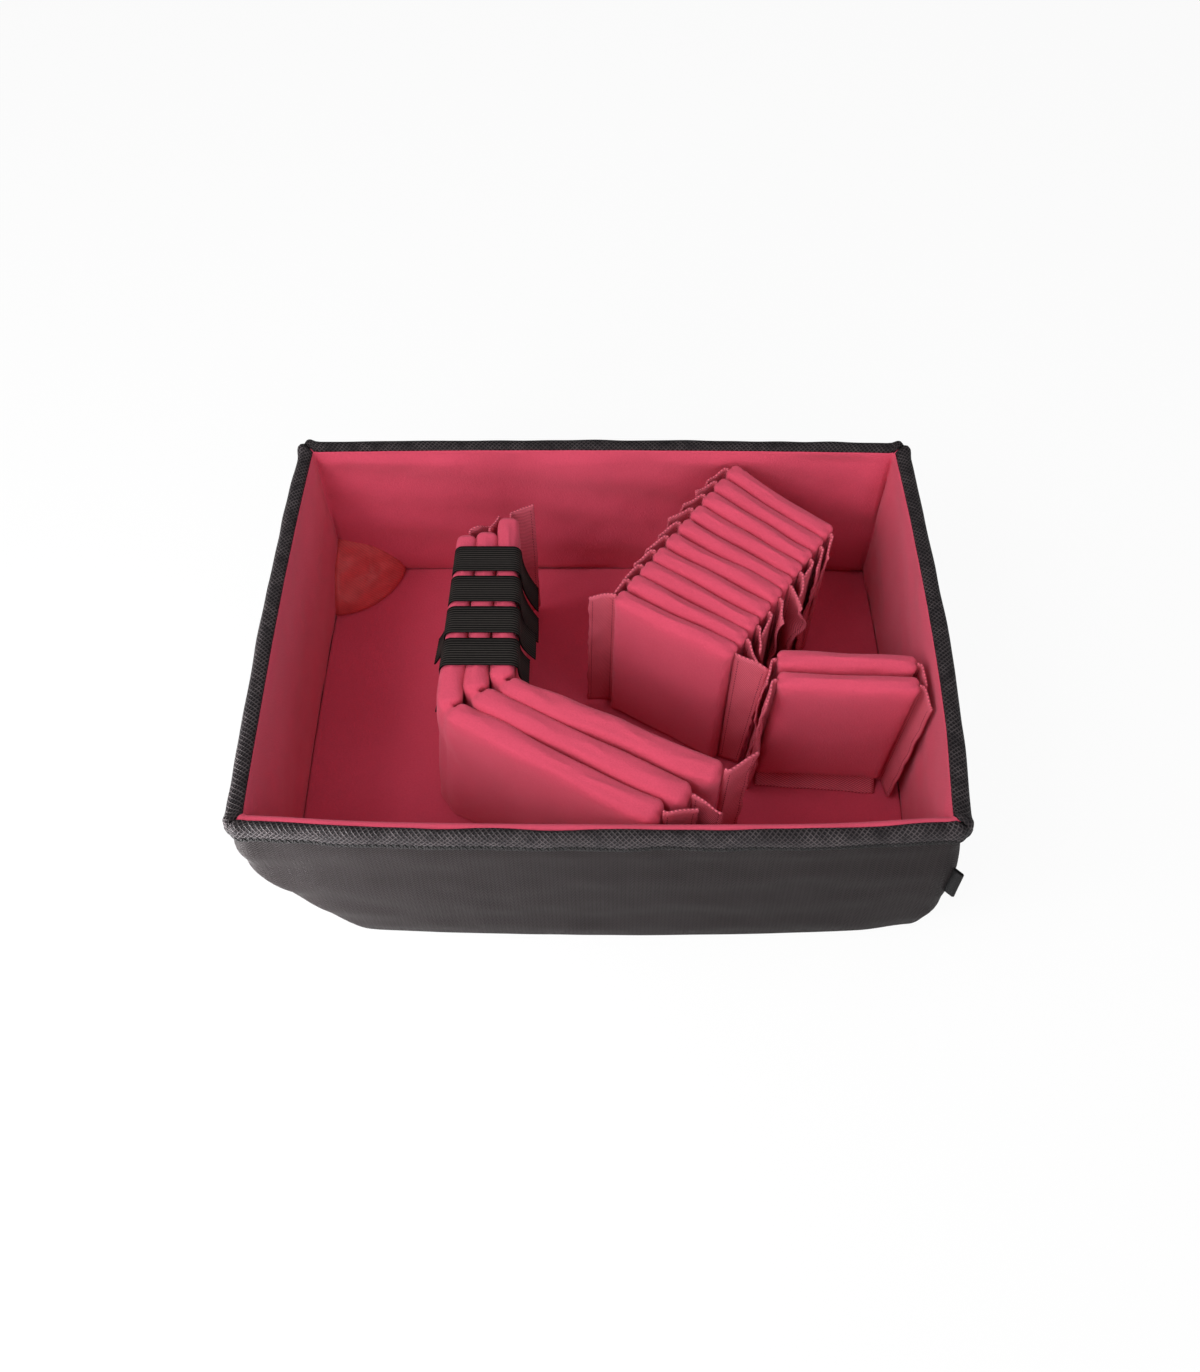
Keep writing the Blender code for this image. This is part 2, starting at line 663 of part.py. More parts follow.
def build_nest():
    """Three long dividers folded to a wide V and nested. Each front leg turns on the upright fold."""
    bottom = FLOOR + SEAT_GAP
    for i, turn in enumerate(NEST_TURNS):
        fold = NEST_START + NEST_STEP * i
        shape = pad_shape(FOLD_TIP, LONG_BACK_LEG, LONG_THICKNESS, bottom, fold=True)
        back = add_object(f"long_back_pad_{i + 1}", shape, LOOP)
        back.location = (fold.x, fold.y, 0)
        back.rotation_euler = (0, 0, math.pi / 2)
        shape = pad_shape(FOLD_TIP, LONG_LEG, LONG_THICKNESS, bottom, fold=True)
        front = add_object(f"long_front_pad_{i + 1}", shape, LOOP)
        front.location = (fold.x, fold.y, 0)
        front.rotation_euler = (0, 0, turn)
        shape = long_tab_shape(LONG_BACK_LEG, NEST_REAR_TAB_TURNS[i], TAB_WIDTH * NEST_REAR_TAB_SHARES[i])
        add_object(f"long_rear_tab_{i + 1}", shape, HOOK).parent = back
        shape = long_tab_shape(LONG_LEG, NEST_FRONT_TAB_TURNS[i], TAB_WIDTH * NEST_FRONT_TAB_SHARES[i])
        add_object(f"long_front_tab_{i + 1}", shape, HOOK).parent = front


def strap_path(left_drop, left_flare, right_drop, right_flare):
    """A strap's centre line across the nest as (x, z): up the left side, over the pads, down the right."""
    lift = SEAT_GAP + STRAP_THICKNESS / 2
    left = NEST_START.x - LONG_THICKNESS / 2 - lift
    right = NEST_START.x + 2 * NEST_STEP.x + LONG_THICKNESS / 2 + lift
    level = FLOOR + PAD_TOP + lift
    shoulder = STRAP_SHOULDER
    quarter = math.pi / 2
    over_left = arc((left + shoulder, level - shoulder), shoulder, 2 * quarter, quarter, ROUND_STEPS)
    over_right = arc((right - shoulder, level - shoulder), shoulder, quarter, 0, ROUND_STEPS)
    start = level - shoulder
    shares = STRAP_HANG_SHARES
    down_left = [(left - left_flare * share ** 2, start - left_drop * share) for share in shares]
    down_right = [(right + right_flare * share ** 2, start - right_drop * share) for share in shares]
    return down_left[::-1] + over_left + over_right + down_right


def build_straps():
    """Four elastic straps over the nest's back legs, with their hook ends hanging down both sides."""
    shares = zip(STRAP_LEFT_DROP_SHARES, STRAP_LEFT_FLARE_SHARES,
                 STRAP_RIGHT_DROP_SHARES, STRAP_RIGHT_FLARE_SHARES)
    for i, four in enumerate(shares):
        path = [Vector(point) for point in strap_path(*[STRAP_LENGTH * share for share in four])]
        grid = {}
        middle = NEST_START.y + LONG_BACK_LEG - STRAP_REAR_INSET - STRAP_PITCH * i
        for k, point in enumerate(path):
            ahead = path[min(k + 1, len(path) - 1)] - path[max(k - 1, 0)]
            normal = Vector((-ahead.y, ahead.x)).normalized()
            for j, side in enumerate((-1, 1)):
                spot = Vector((point.x, middle + side * STRAP_WIDTH / 2, point.y))
                grid[(k, j)] = (spot, Vector((normal.x, 0, normal.y)))
        cells = [[(k, 0), (k + 1, 0), (k + 1, 1), (k, 1)] for k in range(len(path) - 1)]
        add_object(f"strap_{i + 1}", sheet_shape(grid, cells, STRAP_THICKNESS), ELASTIC)


clear_scene()
build_tub()
build_row()
build_pair()
build_nest()
build_straps()
bpy.context.view_layer.update()
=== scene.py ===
import math

import bmesh
import bpy
import numpy as np
from mathutils import Matrix, Vector
from mathutils.bvhtree import BVHTree


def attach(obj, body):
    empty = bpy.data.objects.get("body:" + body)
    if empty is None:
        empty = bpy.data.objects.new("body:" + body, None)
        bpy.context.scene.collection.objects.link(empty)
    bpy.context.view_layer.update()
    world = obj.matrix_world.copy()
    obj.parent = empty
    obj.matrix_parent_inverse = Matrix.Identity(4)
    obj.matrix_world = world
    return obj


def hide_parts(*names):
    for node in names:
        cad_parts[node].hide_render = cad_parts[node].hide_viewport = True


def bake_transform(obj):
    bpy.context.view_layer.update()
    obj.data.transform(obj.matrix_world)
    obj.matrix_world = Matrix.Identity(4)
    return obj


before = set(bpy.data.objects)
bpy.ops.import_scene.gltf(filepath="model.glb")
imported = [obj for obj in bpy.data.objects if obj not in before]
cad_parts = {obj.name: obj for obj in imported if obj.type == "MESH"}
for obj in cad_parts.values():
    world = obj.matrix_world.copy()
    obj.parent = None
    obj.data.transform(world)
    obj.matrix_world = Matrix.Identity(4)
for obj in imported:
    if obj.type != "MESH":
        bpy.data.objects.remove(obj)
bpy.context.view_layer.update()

# Camera
# It looks down into the tub from in front. The place, tilt and lens were solved from the tub's corners in
# the photograph, whose middle is the middle of the view. The focal length is in the photograph's pixels.
PHOTO_HEIGHT = 1372
SENSOR = 36
FOCAL_PIXELS = 1239.6
CAMERA_PLACE = Vector((0.0060, -0.5847, 0.9388))
CAMERA_PITCH = math.radians(55.98)
CAMERA_YAW = math.radians(-0.79)
CAMERA_ROLL = math.radians(-0.46)


def camera_turn():
    """The camera's rotation: its right, up and backward directions as the columns of a matrix."""
    forward = Vector((math.sin(CAMERA_YAW), math.cos(CAMERA_YAW), 0))
    ahead = forward * math.cos(CAMERA_PITCH) - Vector((0, 0, math.sin(CAMERA_PITCH)))
    level = Vector((math.cos(CAMERA_YAW), -math.sin(CAMERA_YAW), 0))
    upright = level.cross(ahead)
    right = level * math.cos(CAMERA_ROLL) + upright * math.sin(CAMERA_ROLL)
    up = upright * math.cos(CAMERA_ROLL) - level * math.sin(CAMERA_ROLL)
    return Matrix((right, up, -ahead)).transposed()


camera = bpy.data.objects.new("camera", bpy.data.cameras.new("camera"))
bpy.context.scene.collection.objects.link(camera)
camera.data.sensor_width = SENSOR
camera.data.lens = FOCAL_PIXELS * SENSOR / PHOTO_HEIGHT
camera.matrix_world = Matrix.Translation(CAMERA_PLACE) @ camera_turn().to_4x4()
bpy.context.scene.camera = camera
bpy.context.scene.view_settings.view_transform = "Standard"


# Floor and light
# A pale tabletop in a white room, under ten soft lamps that stand round the tub and over it. The floor
# shows nearly white to the camera and keeps the tub's soft shadow.
FLOOR_SPAN = 8.0
FLOOR_COLOUR = (0.86, 0.86, 0.86, 1)
FLOOR_WHITE_SHARE = 0.93
ROOM_LIGHT = 0.115
LAMP_TARGET = (0.0, 0.0, 0.1)
LAMPS = {
    "high_left": ((-1.0, -1.1, 1.5), (0.8, 0.8), 13.0),
    "low_front": ((0.0, -2.1, 0.45), (1.6, 0.5), 9.0),
    "front": ((0.0, -1.9, 1.1), (1.6, 0.8), 9.0),
    "left": ((-1.7, -0.3, 0.9), (0.8, 0.8), 8.5),
    "overhead": ((0.0, 0.1, 1.9), (2.4, 1.8), 7.0),
    "right": ((1.7, -0.6, 0.9), (0.8, 0.8), 5.5),
    "upper_left": ((-1.2, -0.2, 1.6), (0.8, 0.8), 5.0),
    "high_right": ((1.0, -1.1, 1.5), (0.8, 0.8), 2.7),
    "rear": ((0.0, 1.2, 1.5), (1.6, 0.8), 2.0),
    "near_left": ((-0.62, -0.42, 0.12), (0.2, 0.12), 8.5),
}


class Wire:
    """A socket in a finish that takes Python's arithmetic. Each operation adds a Math node."""

    def __init__(self, finish, socket):
        self.finish = finish
        self.socket = socket

    def math(self, operation, *others):
        return self.finish.node("ShaderNodeMath", {"operation": operation}, [self, *others])

    def __add__(self, other):
        return self.math("ADD", other)

    def __sub__(self, other):
        return self.math("SUBTRACT", other)

    def __rsub__(self, other):
        return self.finish.node("ShaderNodeMath", {"operation": "SUBTRACT"}, [other, self])

    def __mul__(self, other):
        return self.math("MULTIPLY", other)

    def __pow__(self, other):
        return self.math("POWER", other)

    __radd__ = __add__
    __rmul__ = __mul__

    def ripple(self, spacing):
        """Runs smoothly from 0 to 1 and back once in each `spacing` metres."""
        return (self * (2 * math.pi / spacing)).math("SINE") * 0.5 + 0.5

    def ridges(self, spacing):
        """Round ridges from 0 to 1 with a sharp groove every `spacing` metres."""
        return (self * (math.pi / spacing)).math("SINE").math("ABSOLUTE")


class Finish:
    """A material in the making, on a Principled shader."""

    def __init__(self, name):
        self.material = bpy.data.materials.new(name)
        self.material.use_nodes = True
        self.tree = self.material.node_tree
        self.shader = self.tree.nodes["Principled BSDF"]

    def feed(self, socket, value):
        if isinstance(value, Wire):
            self.tree.links.new(value.socket, socket)
        else:
            socket.default_value = value

    def node(self, kind, settings=None, values=(), output=None):
        """Adds a node and gives one of its outputs. Values are listed in socket order or named."""
        made = self.tree.nodes.new(kind)
        for setting, value in (settings or {}).items():
            setattr(made, setting, value)
        sockets = [socket for socket in made.inputs if socket.enabled]
        if isinstance(values, dict):
            names = {socket.name: socket for socket in reversed(sockets)}
            values = {names[name]: value for name, value in values.items()}
        else:
            values = dict(zip(sockets, values))
        for socket, value in values.items():
            self.feed(socket, value)
        outputs = [socket for socket in made.outputs if socket.enabled]
        chosen = next((socket for socket in outputs if socket.name == output), outputs[0])
        return Wire(self, chosen)

    def place(self):
        return self.node("ShaderNodeTexCoord", output="Object")

    def weave(self):
        """How far along and across its own cloth a point lies, in metres."""
        lie = self.node("ShaderNodeUVMap", {"uv_map": "weave"})
        split = {"kind": "ShaderNodeSeparateXYZ", "values": [lie]}
        return self.node(**split, output="X"), self.node(**split, output="Y")

    def noise(self, place, hump, detail=2.0):
        """Noise from 0 to 1 whose humps are about `hump` metres wide."""
        return self.node("ShaderNodeTexNoise", values={"Vector": place, "Scale": 1 / hump, "Detail": detail})

    def mix(self, share, first, second):
        return self.node("ShaderNodeMix", {"data_type": "RGBA"}, [share, first, second])

    def bump(self, height, depth):
        """A surface normal raised by `height`, which runs from 0 to 1, times `depth` metres."""
        return self.node("ShaderNodeBump", values={"Strength": 1.0, "Distance": depth, "Height": height})

    def done(self, **sockets):
        for name, value in sockets.items():
            self.feed(self.shader.inputs[name.replace("_", " ")], value)
        return self.material


def floor_finish():
    finish = Finish("pale_floor")
    finish.done(Base_Color=FLOOR_COLOUR, Roughness=0.9)
    lit = Wire(finish, finish.shader.outputs[0])
    seen = finish.node("ShaderNodeLightPath", output="Is Camera Ray")
    glow = finish.node("ShaderNodeEmission", values=[(1, 1, 1, 1), 1.0])
    mixed = finish.node("ShaderNodeMixShader", values=[seen * FLOOR_WHITE_SHARE, lit, glow])
    finish.feed(finish.tree.nodes["Material Output"].inputs["Surface"], mixed)
    return finish.material


def add_lamp(name, place, size, power):
    data = bpy.data.lights.new(name, "AREA")
    data.shape = "RECTANGLE"
    data.size, data.size_y = size
    data.energy = power
    lamp = bpy.data.objects.new(name, data)
    lamp.location = place
    lamp.rotation_euler = (Vector(LAMP_TARGET) - Vector(place)).to_track_quat("-Z", "Y").to_euler()
    bpy.context.scene.collection.objects.link(lamp)


bpy.ops.mesh.primitive_plane_add(size=FLOOR_SPAN, location=(0, 0, 0))
floor = bpy.context.object
floor.name = "pale_floor"
floor.data.materials.append(floor_finish())
for lamp_name, lamp_facts in LAMPS.items():
    add_lamp(lamp_name, *lamp_facts)

world = bpy.data.worlds.new("white_room")
world.use_nodes = True
room = world.node_tree.nodes
seen = room.new("ShaderNodeLightPath")
strength = room.new("ShaderNodeMapRange")
strength.inputs["To Min"].default_value = ROOM_LIGHT
world.node_tree.links.new(seen.outputs["Is Camera Ray"], strength.inputs["Value"])
world.node_tree.links.new(strength.outputs[0], room["Background"].inputs["Strength"])
room["Background"].inputs["Color"].default_value = (1, 1, 1, 1)
bpy.context.scene.world = world


# Outer cover
# One ring of dark nylon with a fine herringbone weave, pulled over the foam boards and sewn to a base
# panel. At the left end the bottom corners are cut back for the case's wheels and closed with flat panels.
HALF_LENGTH = 0.249
HALF_WIDTH = 0.177
WALL = 0.012
FLOOR = 0.010
BOTTOM_ROUND = 0.016
FRONT_BOW = 0.008
FRONT_BOW_TOP = 0.0030
FRONT_BOW_SPAN = (0.03, 0.16)
REAR_BOW = 0.003
LEFT_BOW = 0.004
RIGHT_BOW = 0.005
BOW_REACH = 0.0139
LEFT_CORNER_DRAW = (-0.0012, 0.0034)
RIGHT_CORNER_DRAW = (-0.0034, 0.0040)
CORNER_REACH = 0.060
CORNER_DRAW_SPAN = (0.02, 0.14)
RIM_SEAM = 0.151
RIM_OVERLAP = 0.006
COVER_CORNER = 0.013
LEAST_CORNER = 0.002
COVER_THICKNESS = 0.0008
COVER_ROWS = 42
COVER_SWELL = 0.0030
COVER_TUCK = 0.0010
TUCK_HEIGHT = 0.010
FOLDS_BEGIN = 0.03
# A kind of fold is given as its depth, the distance between its humps and how it is squeezed in x, y and z
DRAG_FOLDS = (0.0013, 0.027, (0.22, 0.22, 1.3))
FINE_FOLDS = (0.00025, 0.012, (1, 1, 1))
CUT_FOLDS = (0.0010, 0.022, (0.5, 0.5, 1.6))
CUT_FOLD_REACH = 0.030
BASE_CORNER_DRAW = np.array((-0.0048, 0.0048, 0))
BASE_CORNER_REACH = 0.030
BASE_CORNER_HEIGHT = 0.055
BASE_SEAM_HEIGHT = 0.0002
BASE_SHARES = (1.0, 0.985, 0.95, 0.85, 0.7, 0.5, 0.25, 0.0)
COLUMN_STEP = 0.0040
CORNER_STEPS = 4
ALL_SIDES = (0, 1, 2, 3)
WELD = 1e-6
REAR_CORNER_CUT = np.array((0.079, 0.072, 0.055))
FRONT_CORNER_CUT = np.array((0.073, 0.075, 0.106))
CUT_EASE = 0.0030
CUT_SWELL = 0.0055
CUT_SWELL_SPAN = (0.002, 0.030)
NYLON_DARK = (0.0030, 0.0022, 0.0025, 1)
NYLON_LIGHT = (0.0380, 0.0310, 0.0320, 1)
NYLON_WORN = (0.0240, 0.0190, 0.0190, 1)
CHEVRON = 0.0031
RIB = 0.0023
FLECK = 0.0008


def waves(points, hump, seed, count=10):
    """A smooth irregular swell, mostly from -1 to 1, with humps about `hump` metres apart."""
    draw = np.random.default_rng(seed)
    heading = draw.normal(size=(count, 3))
    heading /= np.linalg.norm(heading, axis=1)[:, None]
    pace = np.pi / (hump * draw.uniform(0.7, 1.6, count))
    start = draw.uniform(0, 2 * np.pi, count)
    return np.sin(points @ (heading * pace[:, None]).T + start).sum(-1) / math.sqrt(count)


def ease(value, low, high):
    """0 up to `low`, 1 from `high`, and smooth between them."""
    t = np.clip((value - low) / (high - low), 0, 1)
    return t * t * (3 - 2 * t)


def bell(value, width):
    """1 at zero, falling smoothly to about a third at `width` on both sides."""
    return np.exp(-((value / width) ** 2))


def hill(value, height, place, width):
    return height * bell(value - place, width)


def folds_in(points, folds, seed):
    depth, hump, squeeze = folds
    return depth * waves(points * squeeze, hump, seed)


def side_plan(side, offset, radius):
    """Plan points of one wall from corner to corner, `offset` outside the tub's inner face, with the outward
    direction at each. Side 0 is the front, and the others follow it anticlockwise."""
    half, depth = (HALF_LENGTH, HALF_WIDTH) if side % 2 == 0 else (HALF_WIDTH, HALF_LENGTH)
    reach, level = half + offset - radius, depth + offset - radius
    straight = np.linspace(-1, 1, round(2 * half / COLUMN_STEP))
    turn = np.linspace(0, np.pi / 4, CORNER_STEPS + 1)[1:]
    turns = np.concatenate([-turn[::-1], np.zeros(len(straight)), turn])
    starts = np.concatenate([-np.ones(len(turn)), straight, np.ones(len(turn))]) * reach
    normals = np.stack([np.sin(turns), -np.cos(turns)], -1)
    points = np.stack([starts, np.full(len(starts), -level)], -1) + normals * radius
    turned = np.array(Matrix.Rotation(side * math.pi / 2, 2)).T
    return points @ turned, normals @ turned


def bowed(points):
    """Pushes the middle of each wall out and draws the tops of the front corners in, as soft boards stand."""
    x, y, z = np.moveaxis(points, -1, 0)
    along_x = np.maximum(0, 1 - (x / (HALF_LENGTH + BOW_REACH)) ** 2)
    along_y = np.maximum(0, 1 - (y / (HALF_WIDTH + BOW_REACH)) ** 2)
    new_x = x + np.where(x > 0, RIGHT_BOW, LEFT_BOW) * (x / HALF_LENGTH) * along_y
    front_bow = FRONT_BOW + (FRONT_BOW_TOP - FRONT_BOW) * ease(z, *FRONT_BOW_SPAN)
    new_y = y + np.where(y > 0, REAR_BOW, front_bow) * (y / HALF_WIDTH) * along_x
    for corner_x, (draw_x, draw_y) in ((-HALF_LENGTH, LEFT_CORNER_DRAW), (HALF_LENGTH, RIGHT_CORNER_DRAW)):
        drawn = bell(np.hypot(x - corner_x, y + HALF_WIDTH), CORNER_REACH) * ease(z, *CORNER_DRAW_SPAN)
        new_x = new_x + draw_x * drawn
        new_y = new_y + draw_y * drawn
    return np.stack([new_x, new_y, z], -1)


def wall_grid(profile, sides):
    """A grid of points along walls, one row for each (offset, height, corner radius) of a profile, with the
    outward direction of each column."""
    rows = []
    for offset, height, radius in profile:
        plans = [side_plan(side, offset, radius) for side in sides]
        if len(sides) == 4:
            plans = [(points[:-1], normals[:-1]) for points, normals in plans]
        points = np.concatenate([points for points, _ in plans])
        normals = np.concatenate([normals for _, normals in plans])
        rows.append(np.concatenate([points, np.full((len(points), 1), height)], 1))
    return bowed(np.array(rows)), np.concatenate([normals, np.zeros((len(normals), 1))], 1)


def corner_plane(rear):
    """A point on a wheel corner's cut and its direction out of the tub."""
    cut, side = (REAR_CORNER_CUT, 1) if rear else (FRONT_CORNER_CUT, -1)
    normal = np.array((-1 / cut[0], side / cut[1], -1 / cut[2]))
    corner = np.array((-HALF_LENGTH - WALL, side * (HALF_WIDTH + WALL), 0))
    return corner + (cut[0], 0, 0), normal / np.linalg.norm(normal)


def cut_back(points, depth, swell=0):
    """Draws the wheel corners back to `depth` inside their cuts, with eased edges."""
    for rear in (True, False):
        place, normal = corner_plane(rear)
        past = (points - place) @ normal + depth
        soft = np.logaddexp(0, past / CUT_EASE) * CUT_EASE
        points = points - (soft - swell * ease(past, *CUT_SWELL_SPAN))[..., None] * normal
    return points


def walk(points):
    """The distance walked along a line of points."""
    return np.concatenate([[0], np.cumsum(np.linalg.norm(np.diff(points, axis=0), axis=1))])


def loft(name, grid, over=False, around=False):
    """A mesh over a grid of points, with the distances along and across its cloth as its UV map."""
    rows, columns = grid.shape[:2]
    i, j = np.meshgrid(np.arange(rows if over else rows - 1), np.arange(columns if around else columns - 1),
                       indexing="ij")
    corners = np.stack([np.stack([i + a, j + b], -1) for a, b in ((0, 0), (0, 1), (1, 1), (1, 0))], 2)
    corners = corners.reshape(-1, 4, 2)
    mesh = bpy.data.meshes.new(name)
    quads = (corners[..., 0] % rows) * columns + corners[..., 1] % columns
    mesh.from_pydata(grid.reshape(-1, 3).tolist(), [], quads.tolist())
    along = walk(np.concatenate([grid[rows // 2], grid[rows // 2, :1]]))
    across = walk(np.concatenate([grid[:, columns // 2], grid[:1, columns // 2]]))
    lie = np.stack([along[corners[..., 1]], across[corners[..., 0]]], -1)
    mesh.uv_layers.new(name="weave").data.foreach_set("uv", lie.astype(np.float32).ravel())
    return mesh


def face_outward(shape):
    bmesh.ops.recalc_face_normals(shape, faces=shape.faces)
    if shape.calc_volume(signed=True) < 0:
        bmesh.ops.reverse_faces(shape, faces=shape.faces)


def add_piece(mesh, material, body, nodes=(), thickness=0, centred=False, caps=False):
    """Cleans a mesh, makes it a smooth closed piece and lets it ride on its CAD body. An open sheet gets its
    thickness behind its face, or half on each side where it is centred."""
    shape = bmesh.new()
    shape.from_mesh(mesh)
    bmesh.ops.remove_doubles(shape, verts=shape.verts, dist=WELD)
    bmesh.ops.dissolve_degenerate(shape, edges=shape.edges, dist=WELD)
    if caps:
        bmesh.ops.holes_fill(shape, edges=shape.edges, sides=0)
    if not thickness:
        face_outward(shape)
    shape.to_mesh(mesh)
    shape.free()
    mesh.shade_smooth()
    mesh.materials.append(material)
    piece = bpy.data.objects.new(mesh.name, mesh)
    bpy.context.scene.collection.objects.link(piece)
    if thickness:
        fabric = piece.modifiers.new("fabric", "SOLIDIFY")
        fabric.thickness = abs(thickness)
        fabric.offset = 0 if centred else -math.copysign(1, thickness)
    if body:
        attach(piece, body)
    if nodes:
        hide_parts(*nodes)
    return piece


def nylon_finish():
    finish = Finish("herringbone_nylon")
    along, across = finish.weave()
    place = finish.place()
    zigzag = along.math("PINGPONG", CHEVRON)
    thread = (across + zigzag).ripple(RIB) * along.ridges(CHEVRON) ** 0.2
    speck = finish.noise(place, FLECK, 1)
    worn = finish.noise(place, 0.05, 4) * 0.35
    colour = finish.mix(thread * 0.85 + speck * 0.15, NYLON_DARK, NYLON_LIGHT)
    colour = finish.mix(worn, colour, NYLON_WORN)
    normal = finish.bump(thread + speck * 0.3, 0.00022)
    return finish.done(Base_Color=colour, Roughness=0.66 - thread * 0.16, Normal=normal,
                       Specular_IOR_Level=0.08)


def cover_profile():
    """The cover's outline from under the rim down to the base seam."""
    side = [(WALL, z, COVER_CORNER) for z in np.linspace(RIM_SEAM + RIM_OVERLAP, BOTTOM_ROUND, COVER_ROWS)]
    for turn in np.linspace(0, np.pi / 2, 9)[1:]:
        sink = BOTTOM_ROUND * (1 - math.cos(turn))
        height = BOTTOM_ROUND * (1 - math.sin(turn))
        side.append((WALL - sink, height, max(COVER_CORNER - sink, LEAST_CORNER)))
    return side


def swell_cover(grid, normals):
    """Gives the cover its soft outward swell, its tuck under the rim and its shallow drag folds."""
    z = grid[..., 2]
    low = ease(z, 0, FOLDS_BEGIN)
    push = COVER_SWELL * np.sin(np.pi * np.clip(z / RIM_SEAM, 0, 1)) ** 0.7
    push = push - COVER_TUCK * ease(z, RIM_SEAM - TUCK_HEIGHT, RIM_SEAM)
    push = push + low * folds_in(grid, DRAG_FOLDS, 3)
    push = push + low * folds_in(grid, FINE_FOLDS, 4)
    for rear in (True, False):
        place, normal = corner_plane(rear)
        near = bell((grid - place) @ normal, CUT_FOLD_REACH)
        push = push + low * near * folds_in(grid, CUT_FOLDS, 5)
    from_right_corner = np.hypot(grid[..., 0] - HALF_LENGTH, grid[..., 1] + HALF_WIDTH)
    drawn = bell(from_right_corner, BASE_CORNER_REACH) * (1 - ease(z, 0, BASE_CORNER_HEIGHT))
    return grid + normals * push[..., None] + drawn[..., None] * BASE_CORNER_DRAW


nylon = nylon_finish()
cover_points, cover_normals = wall_grid(cover_profile(), ALL_SIDES)
cover_points = cut_back(swell_cover(cover_points, cover_normals), 0, CUT_SWELL)
cover_nodes = ("cover_sides", "cover_corner_rear_left", "cover_corner_front_left")
cover = add_piece(loft("outer_cover", cover_points[::-1], around=True), nylon, "tub", cover_nodes,
                  thickness=COVER_THICKNESS)

base_profile = [(WALL - BOTTOM_ROUND, BASE_SEAM_HEIGHT, LEAST_CORNER)]
base_edge = swell_cover(*wall_grid(base_profile, ALL_SIDES))[0]
base_points = cut_back(np.array([base_edge * (share, share, 1) for share in BASE_SHARES]), 0)
base_panel = add_piece(loft("base_panel", base_points[::-1], around=True), nylon, "tub",
                       ("cover_base",), thickness=COVER_THICKNESS)


# Foam boards
# Dense grey foam: one board in each wall, joined at the corners, and one in the base. The cover and lining
# hide them.
SIDE_NAMES = ("front", "right", "rear", "left")
BOARD_INNER = 0.0022
BOARD_OUTER = 0.0098
BOARD_TOP = 0.1625
BOARD_ROWS = 24
BOARD_CORNER = 0.004
BOARD_FOOT_SLANT = 0.004
BOARD_DEPTH = 0.005
BASE_BOARD_LOW = 0.0016
BASE_BOARD_HIGH = 0.0074
BASE_BOARD_INSET = 0.001
BASE_BOARD_REACH = 0.150
BOARD_CLEAR = 0.0012
COVER_NEAR = 0.012
CELLS_PER_METRE = 900
FOAM_COLOURS = ((0.10, 0.10, 0.105, 1), (0.16, 0.16, 0.165, 1))


def foam_finish():
    finish = Finish("grey_foam")
    cells = finish.node("ShaderNodeTexVoronoi", values={"Vector": finish.place(), "Scale": CELLS_PER_METRE})
    colour = finish.mix(cells, *FOAM_COLOURS)
    return finish.done(Base_Color=colour, Roughness=0.95, Normal=finish.bump(cells, 0.0003))


def keep_under_cover(points):
    """Moves the points of a board that would come through the cover back under it."""
    skin = cover.data
    corners = [corner.co for corner in skin.vertices]
    tree = BVHTree.FromPolygons(corners, [face.vertices for face in skin.polygons])
    kept = points.copy()
    for spot in np.ndindex(points.shape[:2]):
        place = Vector(points[spot])
        near, outward, _, gap = tree.find_nearest(place)
        if gap < COVER_NEAR and (near - place).dot(outward) < BOARD_CLEAR:
            kept[spot] = near - outward * BOARD_CLEAR
    return kept


def board_grid(profile, sides):
    """The points of a board with this outline, cut back for the wheels."""
    return keep_under_cover(cut_back(wall_grid(profile, sides)[0], BOARD_DEPTH))


foam = foam_finish()
board_heights = np.linspace(BOARD_TOP, FLOOR, BOARD_ROWS)
board_outline = [(BOARD_INNER, height, BOARD_CORNER) for height in board_heights]
board_outline += [(BOARD_OUTER, max(height, FLOOR + BOARD_FOOT_SLANT), BOARD_CORNER)
                  for height in board_heights[::-1]]
for side, side_name in enumerate(SIDE_NAMES):
    board_mesh = loft(f"board_{side_name}", board_grid(board_outline, (side,)), over=True)
    add_piece(board_mesh, foam, "tub", (f"foam_{side_name}",), caps=True)
board_insets = -np.linspace(BASE_BOARD_INSET, BASE_BOARD_REACH, BOARD_ROWS)
base_outline = [(offset, BASE_BOARD_LOW, LEAST_CORNER) for offset in board_insets]
base_outline += [(offset, BASE_BOARD_HIGH, LEAST_CORNER) for offset in board_insets[::-1]]
board_mesh = loft("board_base", board_grid(base_outline, ALL_SIDES), around=True, over=True)
add_piece(board_mesh, foam, "tub", ("foam_base",))


# Rim binding
# A coarse cross-woven nylon band rolled over the top of each wall and stitched down outside. The bands meet
# in pinched mitres that stand up a little at the corners.
BINDING_THICKNESS = 0.0009
BINDING_OUTER = ((0.0082, 0.1702, 0.006), (0.0102, 0.1695, 0.007), (0.0120, 0.1681, 0.008),
                 (0.0134, 0.1662, 0.009), (0.0142, 0.1638, 0.010), (0.0145, 0.1610, 0.010),
                 (0.0146, 0.1580, 0.010), (0.0144, 0.1556, 0.010), (0.0140, 0.1536, 0.010),
                 (0.0132, 0.1520, 0.010), (0.0120, 0.1516, 0.010))
BINDING_INNER = ((0.0006, 0.1668, 0.002), (0.0008, 0.1684, 0.002), (0.0018, 0.1695, 0.003),
                 (0.0034, 0.1701, 0.004), (0.0058, 0.1704, 0.005))
